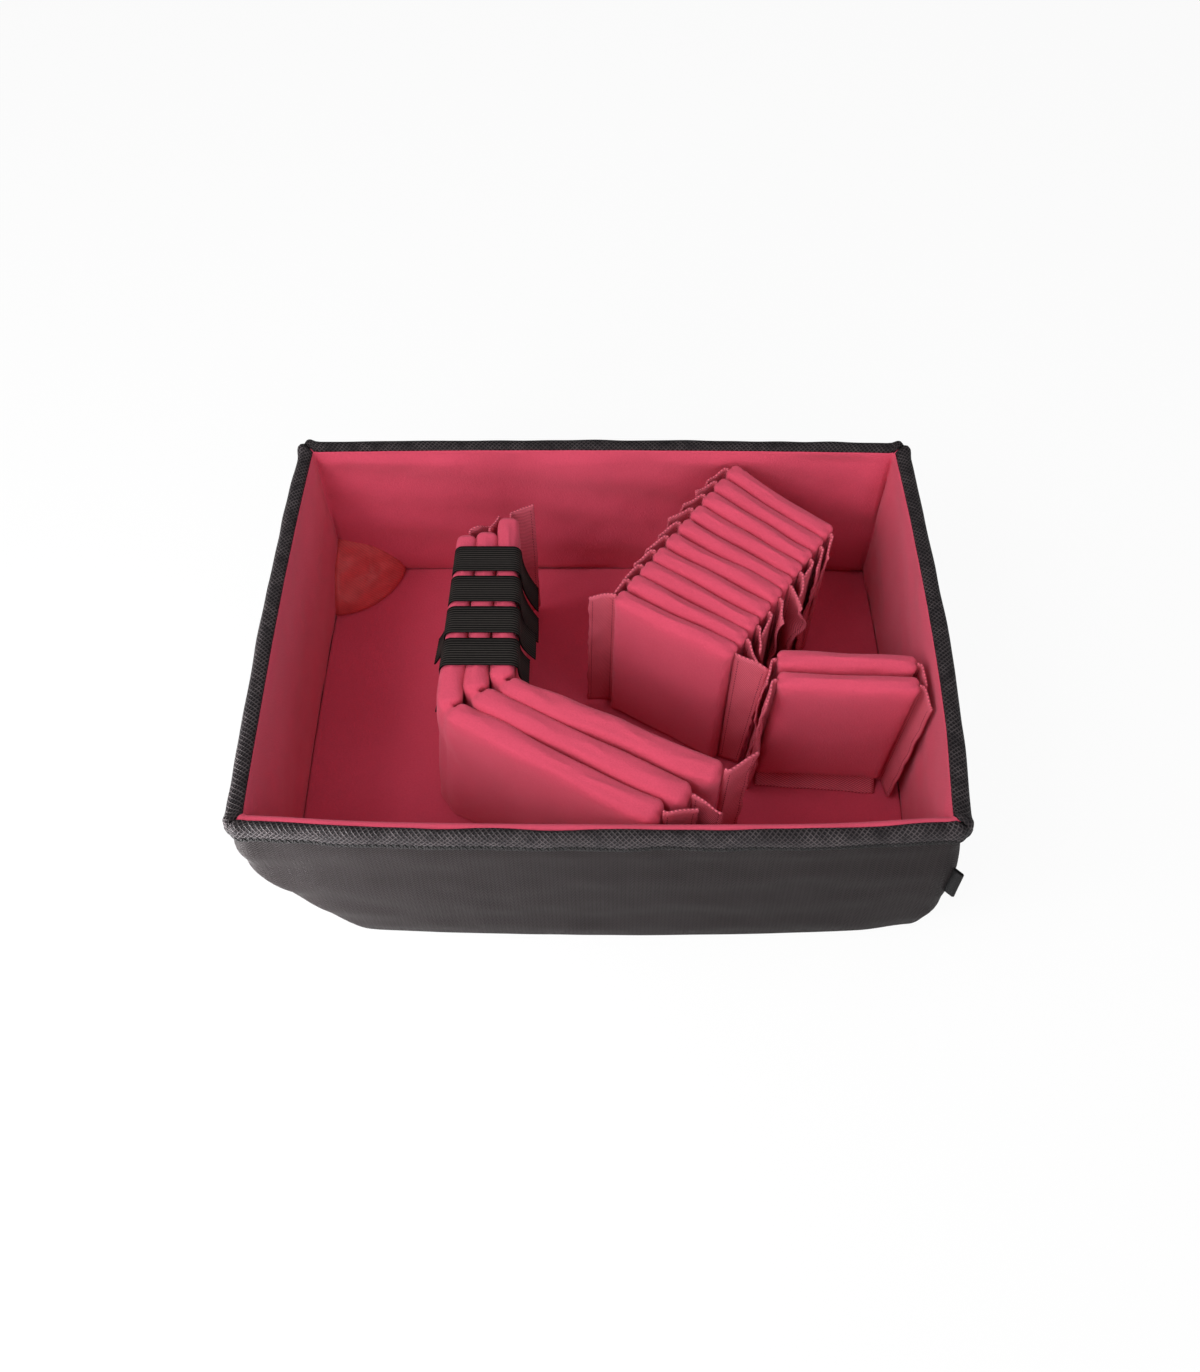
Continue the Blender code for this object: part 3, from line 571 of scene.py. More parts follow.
# The front wall's binding starts farther out, which leaves a lip of lining in view
BINDING_INNER_FRONT = ((0.0056, 0.1670, 0.004), (0.0053, 0.1683, 0.004), (0.0055, 0.1693, 0.0045),
                       (0.0061, 0.1699, 0.005), (0.0069, 0.1702, 0.0055))
MITRE_WIDTH = 0.0018
MITRE_DIP = 0.0016
MITRE_PINCH = 0.0008
# Height, distance from the mitre and width
MITRE_FOLD = (0.0013, 0.0050, 0.0030)
MITRE_BULGE = (0.0010, 0.0060, 0.0040)
CORNER_PEAK = 0.0026
CORNER_PEAK_REACH = 0.0060
RIM_TOP_SPAN = (0.160, 0.169)
RIM_OUT_SPAN = (0.006, 0.014)
FRONT_EDGE_SPAN = (0.004, 0.010)
TOP_FOLDS = (0.00035, 0.020, (1, 1, 1))
LOW_FOLDS = (0.0006, 0.016, (1, 1, 1))
OUT_FOLDS = (0.00045, 0.018, (1, 1, 1))
FRONT_EDGE_SWAY = (0.0008, 0.024, (1, 1, 0))
BINDING_DARK = (0.009, 0.007, 0.0085, 1)
BINDING_LIGHT = (0.104, 0.086, 0.089, 1)
# Colour of the painted shadow along the binding's lower seam, and of its dark zigzag stitching
BINDING_SEAM_SHADE = (0.0035, 0.003, 0.0035, 1)
STRAND = 0.0040
ZIGZAG_PITCH = 0.0026
ZIGZAG_OUT = 0.0003
SEAM_LOW = 0.0028
SEAM_HIGH = 0.0096
ZIGZAG_ROUND = 0.00045
ZIGZAG_WIDTH = 0.0011
STITCH_LENGTH = 0.0024
STITCH_PITCH = 0.0032
STITCH_ROUND = 0.00028
STITCH_FLATNESS = 1.3


def binding_finish():
    finish = Finish("cross_woven_binding")
    along, across = finish.weave()
    up = (along + across).ridges(STRAND)
    down = (along - across).ridges(STRAND)
    strand = up.math("MAXIMUM", down) ** 9
    bands = finish.noise(finish.place(), 0.010, 3)
    colour = finish.mix(strand * (bands * 1.9 - 0.30), BINDING_DARK, BINDING_LIGHT)
    # Below SEAM_HIGH the band is painted darker: a painted shadow of the step down to the cover, with the
    # dark zigzag of the stitching darker still.
    rise = across - SEAM_LOW - along.math("PINGPONG", ZIGZAG_PITCH) * ((SEAM_HIGH - SEAM_LOW) / ZIGZAG_PITCH)
    zigzag = rise.math("ABSOLUTE").math("LESS_THAN", ZIGZAG_WIDTH)
    seam_shade_and_stitches = across.math("LESS_THAN", SEAM_HIGH) * (0.45 + zigzag * 0.5)
    colour = finish.mix(seam_shade_and_stitches, colour, BINDING_SEAM_SHADE)
    return finish.done(Base_Color=colour, Roughness=0.62 - strand * 0.1, Normal=finish.bump(strand, 0.0006),
                       Specular_IOR_Level=0.14)


def thread_finish(name, dark, light):
    finish = Finish(name)
    fibre = finish.noise(finish.place(), 0.0006, 2)
    colour = finish.mix(fibre, dark, light)
    normal = finish.bump(fibre, 0.0001)
    return finish.done(Base_Color=colour, Roughness=0.6, Normal=normal, Specular_IOR_Level=0.12)


def between(places, total, values):
    """Values along a line, such as points or directions, at these distances walked along it."""
    return np.stack([np.interp(places, total, column) for column in values.T], -1)


def stitch_mesh(name, lines, length=STITCH_LENGTH, pitch=STITCH_PITCH, radius=STITCH_ROUND):
    """Small round-ended stitches along lines of (points, outward directions)."""
    shape = bmesh.new()
    for points, outward in lines:
        total = walk(points)
        for start in np.arange((pitch - length) / 2, total[-1] - length, pitch):
            first, last = between((start, start + length), total, points)
            up = between(start, total, outward)
            ahead = (last - first) / np.linalg.norm(last - first)
            up = up - ahead * (up @ ahead)
            up /= np.linalg.norm(up)
            stitch = Matrix((np.cross(ahead, up), ahead, up)).transposed().to_4x4()
            stitch.translation = (first + last) / 2
            size = Matrix.Diagonal((radius * STITCH_FLATNESS, length / 2, radius, 1))
            bmesh.ops.create_icosphere(shape, subdivisions=1, radius=1, matrix=stitch @ size)
    mesh = bpy.data.meshes.new(name)
    shape.to_mesh(mesh)
    shape.free()
    return mesh


binding = binding_finish()
black_thread = thread_finish("black_thread", (0.004, 0.004, 0.004, 1), (0.014, 0.013, 0.013, 1))
for side, side_name in enumerate(SIDE_NAMES):
    rim_outline = (BINDING_INNER_FRONT if side == 0 else BINDING_INNER) + BINDING_OUTER
    rim_points, rim_normals = wall_grid(rim_outline, (side,))
    offsets, heights, _ = np.array(rim_outline).T[..., None]
    along_rim = walk(rim_points[6])
    from_mitre = np.minimum(along_rim, along_rim[-1] - along_rim)[None, :]
    top = ease(heights, *RIM_TOP_SPAN)
    out = ease(offsets, *RIM_OUT_SPAN)
    mitre = bell(from_mitre, MITRE_WIDTH)
    lift = top * (hill(from_mitre, *MITRE_FOLD) - MITRE_DIP * mitre)
    lift = lift + CORNER_PEAK * top * out * bell(from_mitre, CORNER_PEAK_REACH)
    lift = lift + top * folds_in(rim_points, TOP_FOLDS, 11 + side)
    lift = lift + (1 - top) * folds_in(rim_points, LOW_FOLDS, 21 + side)
    push = out * (hill(from_mitre, *MITRE_BULGE) - MITRE_PINCH * mitre)
    push = push + out * folds_in(rim_points, OUT_FOLDS, 31 + side)
    if side == 0:
        push = push + (1 - ease(offsets, *FRONT_EDGE_SPAN)) * folds_in(rim_points, FRONT_EDGE_SWAY, 26)
    rim_points = rim_points + rim_normals * push[..., None]
    rim_points[..., 2] += lift
    band = add_piece(loft(f"binding_{side_name}", rim_points[::-1]), binding, "tub",
                     (f"rim_{side_name}",), thickness=BINDING_THICKNESS)
    # The zigzag runs between two rows of the band's outer side
    edge_walk = walk(rim_points[-3])
    places = np.arange(0.001, edge_walk[-1], ZIGZAG_PITCH)
    low, high = (between(places, edge_walk, rim_points[row]) for row in (-3, -6))
    outward = between(places, edge_walk, rim_normals)
    zigzag = np.where(np.arange(len(places))[:, None] % 2, low, high) + outward * ZIGZAG_OUT
    segments = [(zigzag[k:k + 2], outward[k:k + 2]) for k in range(len(zigzag) - 1)]
    step = float(np.linalg.norm(zigzag[1] - zigzag[0])) * 0.9
    stitches = stitch_mesh(f"binding_stitches_{side_name}", segments, step, step, ZIGZAG_ROUND)
    add_piece(stitches, black_thread, "tub")


# Brushed lining
# Rose loop fabric with a short brushed nap, so that hook tabs hold anywhere on it. One ring lines the
# walls, with a sewn seam in each corner, and a separate panel covers the base board.
LINING_THICKNESS = 0.0009
LINING_CORNER = 0.0030
LINING_LIP = ((0.0064, 0.1662, 0.0045), (0.0060, 0.1680, 0.0045), (0.0048, 0.1690, 0.0040),
              (0.0032, 0.1692, 0.0037), (0.0016, 0.1686, 0.0034), (0.0005, 0.1673, 0.0031),
              (0.0001, 0.1652, 0.0030))
LINING_TOP = 0.1625
LINING_FOOT = 0.0070
LINING_ROWS = 46
LIP_SPAN = (0.155, 0.166)
FOOT_SPAN = (0.010, 0.018)
# Height, distance from the corner seam and width
SEAM_DIP = (0.0012, 0, 0.0014)
SEAM_PUFF = (0.0011, 0.014, 0.009)
LINING_SLACK = 0.0019
END_WALL_STRETCH = 0.0012
SLACK_HUMP = 0.034
LINING_FOLDS = (0.00025, 0.014, (1, 1, 1))
FOOT_TUCK = 0.0004
TUCK_SPAN = (0.009, 0.014)
FLOOR_CELL = 0.0055
FLOOR_EDGE_STEPS = (0, 0.0004, 0.0012, 0.0024, 0.0040)
FLOOR_EDGE_CELL = 0.0080
FLOOR_EDGE_ROUND = 0.0022
FLOOR_EDGE_FALL = 0.0012
FLOOR_FOLDS = (0.00025, 0.050, (1, 1, 1))
ROSE_DARK = (0.58, 0.062, 0.108, 1)
ROSE_LIGHT = (0.78, 0.092, 0.168, 1)
ROSE_SHEEN = (1.0, 0.55, 0.65, 1)
LINING_DEPTH = 0.0025


def lining_finish():
    finish = Finish("brushed_rose_lining")
    place = finish.place()
    drift = finish.noise(place, 0.045, 3)
    nap = finish.noise(place, 0.0016, 4)
    fibre = finish.noise(place, 0.0005, 2)
    shade = drift * 0.40 + nap * 0.55 + fibre * 0.45 - 0.20
    colour = finish.mix(shade, ROSE_DARK, ROSE_LIGHT)
    normal = finish.bump(nap * 0.6 + fibre * 0.4, 0.0007)
    return finish.done(Base_Color=colour, Roughness=0.95, Normal=normal, Sheen_Weight=0.25,
                       Sheen_Roughness=0.5, Sheen_Tint=ROSE_SHEEN, Specular_IOR_Level=0.15)


def floor_places(half):
    """Places across the floor from one edge to the other, closer together at the rounded edges."""
    inset = np.concatenate([FLOOR_EDGE_STEPS, np.arange(FLOOR_EDGE_CELL, half, FLOOR_CELL)])
    return np.concatenate([inset - half, (half - inset)[::-1]])


lining = lining_finish()
lining_profile = [(0, z, LINING_CORNER) for z in np.linspace(LINING_TOP, LINING_FOOT, LINING_ROWS)]
lining_points, lining_normals = wall_grid(list(LINING_LIP) + lining_profile, ALL_SIDES)
x, y, heights = np.moveaxis(lining_points, -1, 0)
from_corner = np.hypot(np.maximum(0, HALF_LENGTH - np.abs(x)), np.maximum(0, HALF_WIDTH - np.abs(y)))
below_lip = 1 - ease(heights, *LIP_SPAN)
above_foot = ease(heights, *FOOT_SPAN)
push = below_lip * (hill(from_corner, *SEAM_DIP) - hill(from_corner, *SEAM_PUFF))
# Slack fabric falls in slanting folds, less where the short walls stretch it
slant = np.stack([x + 0.9 * heights, y - 0.7 * heights, 1.3 * heights], -1)
slack = LINING_SLACK - END_WALL_STRETCH * np.abs(lining_normals[:, 0])
push = push + below_lip * above_foot * slack * (waves(slant * (0.7, 0.7, 1), SLACK_HUMP, 41) - 0.9)
push = push + below_lip * folds_in(lining_points, LINING_FOLDS, 42)
push = push + FOOT_TUCK * (1 - ease(heights, *TUCK_SPAN))
lining_points = cut_back(lining_points + lining_normals * push[..., None], LINING_DEPTH)
walls = add_piece(loft("wall_lining", lining_points[::-1], around=True), lining, "tub",
                  ("lining_walls",), thickness=-LINING_THICKNESS)

x, y = np.meshgrid(floor_places(HALF_LENGTH), floor_places(HALF_WIDTH))
from_edges = np.stack([HALF_LENGTH - np.abs(x), HALF_WIDTH - np.abs(y)])
rounding = 1 - np.sqrt(1 - (1 - np.minimum(from_edges / FLOOR_EDGE_ROUND, 1)) ** 2)
ripples = folds_in(np.stack([x, y, 0 * x], -1), FLOOR_FOLDS, 43) * ease(from_edges.min(0), 0, 0.02)
panel = np.stack([x, y, FLOOR - FLOOR_EDGE_FALL * rounding.sum(0) + ripples], -1)
panel = cut_back(bowed(panel), LINING_DEPTH)
floor_panel = add_piece(loft("floor_lining", panel), lining, "tub", ("lining_floor",),
                        thickness=LINING_THICKNESS)


# Corner patches
# Smooth red nylon pockets sewn over the two wheel corners inside, with a little padding behind. Their edges
# are turned in along the walls and floor, which gathers the nylon into creases that run from seam to seam.
PATCH_THICKNESS = 0.0008
PATCH_STEPS = 40
PATCH_FACTS = {"rear_left": (1, (0.060, 0.0585, 0.048), 51), "front_left": (-1, (0.060, 0.058, 0.082), 52)}
PATCH_OVERRUN = math.radians(3)
PATCH_FLATTENING = 0.05
PATCH_RIPPLES = (0.0015, 0.010, (0.05, 0.05, 0.05))
# The creases run from one spot of the patch. Each has its bearing there, its width and its depth.
PATCH_GATHER = np.array((0.62, 0.55, 0.56))
PATCH_CREASES = ((0.4, 0.032, 0.0030), (1.9, 0.040, 0.0022), (3.3, 0.036, 0.0026), (4.4, 0.045, 0.0020),
                 (5.4, 0.032, 0.0018))
CREASE_START = (-0.05, 0.08)
CREASE_LENGTH = 0.50
PATCH_TUCK = 0.0040
PATCH_DARK = (0.38, 0.040, 0.044, 1)
PATCH_LIGHT = (0.93, 0.118, 0.130, 1)
PATCH_THREAD = 0.0009
WAVES_IN_UNIT = 6


def patch_finish():
    finish = Finish("red_patch_nylon")
    place = finish.place()
    weft = finish.node("ShaderNodeTexWave", {"wave_type": "BANDS", "bands_direction": "DIAGONAL"},
                       {"Vector": place, "Scale": 1 / PATCH_THREAD / WAVES_IN_UNIT, "Distortion": 0.6})
    shade = finish.noise(place, 0.012, 3) * 0.7 + weft * 0.2
    colour = finish.mix(shade, PATCH_DARK, PATCH_LIGHT)
    rough = 0.50 - finish.noise(place, 0.006, 2) * 0.12
    return finish.done(Base_Color=colour, Roughness=rough, Normal=finish.bump(weft, 0.00010),
                       Specular_IOR_Level=0.3)


patch_nylon = patch_finish()
sweep = np.linspace(-PATCH_OVERRUN, math.pi / 2 + PATCH_OVERRUN, PATCH_STEPS)
rise, swing = np.meshgrid(sweep, sweep, indexing="ij")
ball = np.stack([np.cos(rise) * np.cos(swing), np.cos(rise) * np.sin(swing), np.sin(rise)], -1)
from_edge = np.min(np.abs(ball), -1)
flattened = PATCH_FLATTENING * (3 * np.prod(np.abs(ball), -1) ** (1 / 3)) ** 2
from_gather = ball - PATCH_GATHER / np.linalg.norm(PATCH_GATHER)
creases = np.zeros(rise.shape)
for bearing, width, depth in PATCH_CREASES:
    lead, aside = math.cos(bearing), math.sin(bearing)
    ray = np.array((lead, aside, -0.6 * lead - 0.5 * aside))
    ray /= np.linalg.norm(ray)
    along_ray = from_gather @ ray
    off_ray = np.linalg.norm(from_gather - along_ray[..., None] * ray, axis=-1)
    ray_depth = depth * bell(off_ray, width) * ease(along_ray, *CREASE_START) * bell(along_ray, CREASE_LENGTH)
    creases = np.minimum(creases, -ray_depth)
for patch_name, (side, axes, seed) in PATCH_FACTS.items():
    puff = (creases + folds_in(ball, PATCH_RIPPLES, seed + 2)) * ease(from_edge, 0.02, 0.25)
    puff = puff - PATCH_TUCK * (1 - ease(from_edge, 0, 0.07)) - flattened * axes[0]
    skin = ball * np.array(axes) + ball * puff[..., None]
    skin = skin * (1, -side, 1) + (-HALF_LENGTH, side * HALF_WIDTH, FLOOR)
    patch = add_piece(loft(f"wheel_patch_{patch_name}", bowed(skin)), patch_nylon, "tub",
                      (f"corner_patch_{patch_name}",), thickness=PATCH_THICKNESS * side)


# Tag
# A folded tab of black woven tape, sewn into the front right corner seam. It is blank.
TAG_PLACE = (0.243, -0.171, 0.094)
TAG_OUTWARD = math.radians(-45)
TAG_LOOP = ((0.0165, -0.0005), (0.0210, -0.0009), (0.0280, -0.0012), (0.0325, -0.0011), (0.0335, -0.0002),
            (0.0336, 0.0006), (0.0326, 0.0013), (0.0280, 0.0011), (0.0210, 0.0007), (0.0165, 0.0005))
TAG_HEIGHT = 0.030
TAG_ROWS = 14
TAG_SWAY = 0.0012
TAG_SWAY_PACE = 90
TAG_THICKNESS = 0.0005
TAG_RIB = 0.0006
TAG_BLACK = (0.003, 0.003, 0.0032, 1)
TAG_GREY = (0.014, 0.013, 0.014, 1)


def tag_finish():
    finish = Finish("black_tag_tape")
    _, across = finish.weave()
    rib = across.ripple(TAG_RIB)
    fleck = finish.noise(finish.place(), 0.0006, 2)
    colour = finish.mix(rib * 0.5 + fleck * 0.4, TAG_BLACK, TAG_GREY)
    return finish.done(Base_Color=colour, Roughness=0.6 - rib * 0.1, Normal=finish.bump(rib, 0.00015),
                       Specular_IOR_Level=0.15)


rows = []
lead, aside = math.cos(TAG_OUTWARD), math.sin(TAG_OUTWARD)
for level in np.linspace(-TAG_HEIGHT / 2, TAG_HEIGHT / 2, TAG_ROWS):
    lean = TAG_SWAY * math.sin(level * TAG_SWAY_PACE)
    rows.append([(out * lead - (sway + lean) * aside, out * aside + (sway + lean) * lead, level)
                 for out, sway in TAG_LOOP])
tag_points = bowed(np.array(rows) + TAG_PLACE)
tag = add_piece(loft("blank_tag", tag_points), tag_finish(), "tub", ("label_tag",),
                thickness=TAG_THICKNESS)


# Short divider pads
# Twelve foam boards in sleeves of the same rose fabric. The sleeve is folded over the top and closes in the
# seam that carries the border of hook tape. Ten stand in a leaning row and two by the right wall.
PAD_TOP = 0.151
SHORT_LENGTH = 0.107
SHORT_THICKNESS = 0.0164
FOOT_HEIGHTS = {"row": 0.0130, "pair": 0.0255}
PLAN_ROUND = 0.0052
TOP_ROUND = 0.0048
FOOT_ROUND = 0.0040
TOP_CROWN = 0.0006
END_DIP = 0.0009
END_DIP_WIDTH = 0.0016
SEAM_WIDTH = 0.0006
PAD_CELL = 0.0048
PUCKER_DEPTH = 0.0005
PUCKER_REACH = 0.008
PUCKER_HUMPS = (0.007, 0.009)
FACE_FOLDS = (0.0003, 0.030, (1, 1, 1))
TOP_SWAY = (0.0005, 0.030, (1, 0, 0))
TOP_SWELL = (0.05, 0.045, (1, 0, 0))
TOP_BEGINS = 0.10
SWELL_FRAMES = 14
SWELL_PRESSURE = 3.0
SPARE_CLOTH = 0.008
SWELL_LIMIT = 0.0009
ROW_COUNT = 10
ROW_START = (0.0575, 0.0020)
ROW_PITCH = 0.0176
ROW_HEADING = math.radians(55)
ROW_TURNS = (math.radians(-31.5), math.radians(-42))
PAIR_START = (0.1880, -0.0540)
PAIR_PITCH = 0.0205
PAIR_TURN = math.radians(-2.5)
# A divider's pose: how far its foot stands ahead and aside for each metre of height, its tilt and its bow
ROW_AHEAD = 0.042
ROW_ASIDE = 0.012
PAD_BOW = 0.0004
PAD_BOW_HUMP = 0.050
PAIR_POSE = (-0.012, 0.045, -0.012, 0.0003)


def outline(length, thickness, inset, shares, plan_round):
    """A closed line round a board's plan, drawn in by `inset`, with its corners rounded."""
    a, b = length / 2 - inset, thickness / 2 - inset
    radius = max(plan_round - inset, 0)
    turn = np.linspace(-np.pi / 2, 0, 6)[1:-1]
    across = np.linspace(-1, 1, 7)
    side = np.stack([shares * (a - radius), np.full(len(shares), -b)], -1)
    corner = np.stack([a - radius + radius * np.cos(turn), radius - b + radius * np.sin(turn)], -1)
    end = np.stack([np.full(len(across), a), across * (b - radius)], -1)
    far_corner = corner[::-1] * (1, -1)
    half = np.concatenate([side, corner, end, far_corner])
    return np.concatenate([half, -half])


def pillow(low, high, bottom, thickness, seed, folds=(), plan_round=PLAN_ROUND, end_drop=0):
    """The skin of a stuffed pad as rings of (along, out, up), from the middle of its foot to the middle of
    its top. Columns are added at the `folds`, if it has any."""
    middle, length = (low + high) / 2, high - low
    reach = length / 2 - plan_round
    shares = np.linspace(-1, 1, round(length / PAD_CELL))
    if len(folds):
        bends = (np.array(folds) - middle) / reach
        apart = PAD_CELL * 0.4 / reach
        shares = shares[(shares < bends[0] - apart) | (shares > bends[-1] + apart)]
        shares = np.sort(np.concatenate([shares, bends]))
    half = thickness / 2
    turn = np.linspace(0, np.pi / 2, 6)
    top = FLOOR + PAD_TOP
    profile = [(inset, bottom) for inset in np.linspace(half, FOOT_ROUND, 4)[:-1]]
    profile += [(FOOT_ROUND * (1 - math.sin(t)), bottom + FOOT_ROUND * (1 - math.cos(t))) for t in turn]
    faces = np.linspace(bottom + FOOT_ROUND, top - TOP_ROUND, round((top - bottom) / PAD_CELL))[1:-1]
    profile += [(0, level) for level in faces]
    profile += [(TOP_ROUND * (1 - math.cos(t)), top - TOP_ROUND * (1 - math.sin(t))) for t in turn]
    profile += [(inset, top + TOP_CROWN * (inset - TOP_ROUND) / (half - TOP_ROUND))
                for inset in np.linspace(TOP_ROUND, half, 4)[1:]]
    rings = []
    for inset, level in profile:
        front = outline(length, thickness, inset, shares, plan_round)
        count = len(front) // 2
        # The far side repeats the near side's places, so that the caps close on one line
        far = outline(length, thickness, inset, -shares[::-1], plan_round)[count:]
        plan = np.concatenate([front[:count], far])
        rings.append(np.concatenate([plan + (middle, 0), np.full((len(plan), 1), level)], 1))
    skin = np.array(rings)
    u, n, z = np.moveaxis(skin, -1, 0)
    edge = np.minimum(u - low, high - u)
    flat = np.stack([u, n * 3, z], -1)
    face = np.clip(np.abs(n) / half, 0, 1)
    end_hump, foot_hump = PUCKER_HUMPS
    pucker = waves(flat * (0.25, 1, 1), end_hump, seed) * bell(edge, PUCKER_REACH)
    pucker = pucker + 0.7 * waves(flat * (1, 1, 0.25), foot_hump, seed + 1) * bell(z - bottom, PUCKER_REACH)
    n = n - np.sign(n) * face * PUCKER_DEPTH * (pucker * 0.5 + 0.5)
    n = n + np.sign(n) * face * folds_in(flat, FACE_FOLDS, seed + 3)
    inward = np.where(u < middle, 1, -1)
    u = u + inward * END_DIP * bell(n, END_DIP_WIDTH) * (edge < 0.003)
    skin = np.stack([u, n, z], -1)
    z = z + folds_in(skin, TOP_SWAY, seed + 7) * ease(z, TOP_BEGINS, top)
    z = z - end_drop * (1 - ease(edge, 0, plan_round)) ** 2 * ease(z, TOP_BEGINS, top)
    n = n * (1 + folds_in(skin, TOP_SWELL, seed + 9) * ease(z, TOP_BEGINS, top))
    return np.stack([u, n, z], -1)


def seam_of(skin):
    """Which points of a pad are on its seam, round its foot and up the middle of both ends."""
    return (np.abs(skin[..., 1]) < SEAM_WIDTH) & (skin[..., 2] < FLOOR + PAD_TOP - TOP_ROUND)


def settle(mesh, seams):
    """Lets a pad's fabric swell and pucker between its seams, as cloth under a slight pressure. No point
    moves farther than the limit."""
    pad = bpy.data.objects.new("swelling_pad", mesh)
    bpy.context.scene.collection.objects.link(pad)
    pad.vertex_groups.new(name="seams").add([int(index) for index in seams], 1.0, "REPLACE")
    cloth = pad.modifiers.new("swelling", "CLOTH")
    cloth.settings.use_pressure = True
    cloth.settings.uniform_pressure_force = SWELL_PRESSURE
    cloth.settings.effector_weights.gravity = 0
    cloth.settings.vertex_group_mass = "seams"
    cloth.settings.shrink_min = -SPARE_CLOTH
    cloth.point_cache.frame_end = SWELL_FRAMES
    for step in range(1, SWELL_FRAMES + 1):
        bpy.context.scene.frame_set(step)
    swollen = pad.evaluated_get(bpy.context.evaluated_depsgraph_get()).data
    count = len(mesh.vertices)
    before, after = np.empty(count * 3, np.float32), np.empty(count * 3, np.float32)
    mesh.vertices.foreach_get("co", before)
    swollen.vertices.foreach_get("co", after)
    move = (after - before).reshape(-1, 3)
    size = np.linalg.norm(move, axis=1)[:, None]
    move = move / np.maximum(size, 1e-9) * SWELL_LIMIT * np.tanh(size / SWELL_LIMIT)
    bpy.context.scene.frame_set(1)
    bpy.data.objects.remove(pad)
    mesh.vertices.foreach_set("co", (before + move.ravel()).astype(np.float32))
    mesh.update()


def add_stuffed(name, skin, body, nodes, seam):
    """One closed pad from its rings of points. `seam` marks the points that a seam holds."""
    mesh = loft(name, skin, around=True)
    shape = bmesh.new()
    shape.from_mesh(mesh)
    held = shape.verts.layers.int.new("held")
    shape.verts.ensure_lookup_table()
    for vert, holds in zip(shape.verts, seam.ravel()):
        vert[held] = int(holds)
    bmesh.ops.remove_doubles(shape, verts=shape.verts, dist=2 * WELD)
    face_outward(shape)
    shape.verts.ensure_lookup_table()
    seams = [vert.index for vert in shape.verts if vert[held]]
    shape.to_mesh(mesh)
    shape.free()
    settle(mesh, seams)
    pad = add_piece(mesh, lining, body, nodes)
    return pad


def stood(points, place, turn):
    """Stands points given as (along, out, up) at a place in the tub, turned about the upright."""
    turned = np.array(Matrix.Rotation(turn, 3, "Z")).T
    return points @ turned + (*place, 0)


def slumped(points, ahead, aside, tilt, bow, seed):
    """Moves a divider's foot ahead and aside of its top, tilts its lower edge and bows it a little."""
    u, n, z = np.moveaxis(points, -1, 0)
    down = FLOOR + PAD_TOP - z
    wave = bow * waves(np.stack([u, 0 * u, z * 0.4], -1), PAD_BOW_HUMP, seed)
    return np.stack([u - aside * down, n - ahead * down + wave, z + tilt * u * down / PAD_TOP], -1)


short_dividers = []
draw = np.random.default_rng(61)
for number in range(ROW_COUNT):
    share = number / (ROW_COUNT - 1)
    place = (ROW_START[0] + ROW_PITCH * number * math.cos(ROW_HEADING),
             ROW_START[1] + ROW_PITCH * number * math.sin(ROW_HEADING))
    turn = ROW_TURNS[0] + (ROW_TURNS[1] - ROW_TURNS[0]) * share
    pose = (ROW_AHEAD, draw.uniform(-ROW_ASIDE, ROW_ASIDE), 0.0, PAD_BOW, 610 + number)
    short_dividers.append(("row", number, place, turn, pose))
for number in range(2):
    place = (PAIR_START[0] - PAIR_PITCH * number * math.sin(PAIR_TURN),
             PAIR_START[1] + PAIR_PITCH * number * math.cos(PAIR_TURN))
    short_dividers.append(("pair", number, place, PAIR_TURN, (*PAIR_POSE, 630 + number)))

for kind, number, place, turn, pose in short_dividers:
    skin = pillow(-SHORT_LENGTH / 2, SHORT_LENGTH / 2, FOOT_HEIGHTS[kind], SHORT_THICKNESS, 70 + 10 * number)
    seam = seam_of(skin)
    skin = stood(slumped(skin, *pose), place, turn)
    add_stuffed(f"{kind}_sleeve_{number + 1:02d}", skin, f"{kind}_divider_{number + 1:02d}",
                (f"{kind}_pad_{number + 1:02d}",), seam)


# Hook tape borders
# A border of pinker twill tape with a hooked side, sewn round the foot and both sides of each short
# divider. It spreads into two side tabs and a hem, which crumple and fray at their edges.
TAPE_THICKNESS = 0.0015
TAPE_CLEAR = 0.0011
TAB_BEND_ROUND = 0.0024
SEAM_BAND = 0.0020
TAB_LOW = 0.0125
TAB_HIGH = 0.158
TAB_TAPER = 0.009
TAB_ROWS = 32
LEAST_TURN = 1e-4
TAB_SWAY_HUMP = 0.030
CRUMPLE_HUMP = 0.010
END_HUMP = 0.009
FRAY_FOLDS = (0.0006, 0.005, (1, 1, 1))
HEM_WIDTH = 0.0205
HEM_FLARE = 0.0008
HEM_INSET = 0.003
HEM_GAP = 0.0002
HEM_SWAY = (0.0006, 0.022, (1, 1, 1))
HEM_FOLDS = (0.0005, 0.010, (1, 1, 1))
# For each tab: its turns at the foot and top in degrees, its widths at the foot and top, and how far it waves
ROW_LEFT_TABS = [(-31, -33, 0.021, 0.021, 0.0007)] + [
    (foot, foot + rise, 0.021, 0.022, wave) for foot, rise, wave in (
        (-82, 6, 0.0022), (-85, 2, 0.0030), (-80, 0, 0.0018), (-84, 8, 0.0034), (-81, 1, 0.0022),
        (-86, 7, 0.0030), (-80, 3, 0.0034), (-84, 9, 0.0026), (-79, 4, 0.0020))]
ROW_RIGHT_TABS = [(2, 8, 0.017, 0.027, 0.0012)] + [
    (foot, top, 0.021, 0.022, wave) for foot, top, wave in (
        (-38, -42, 0.0020), (-70, -58, 0.0040), (-76, -84, 0.0044), (-80, -62, 0.0044), (-66, -30, 0.0060),
        (-78, -56, 0.0050), (-80, -74, 0.0030), (-76, -70, 0.0036), (-74, -66, 0.0024))]
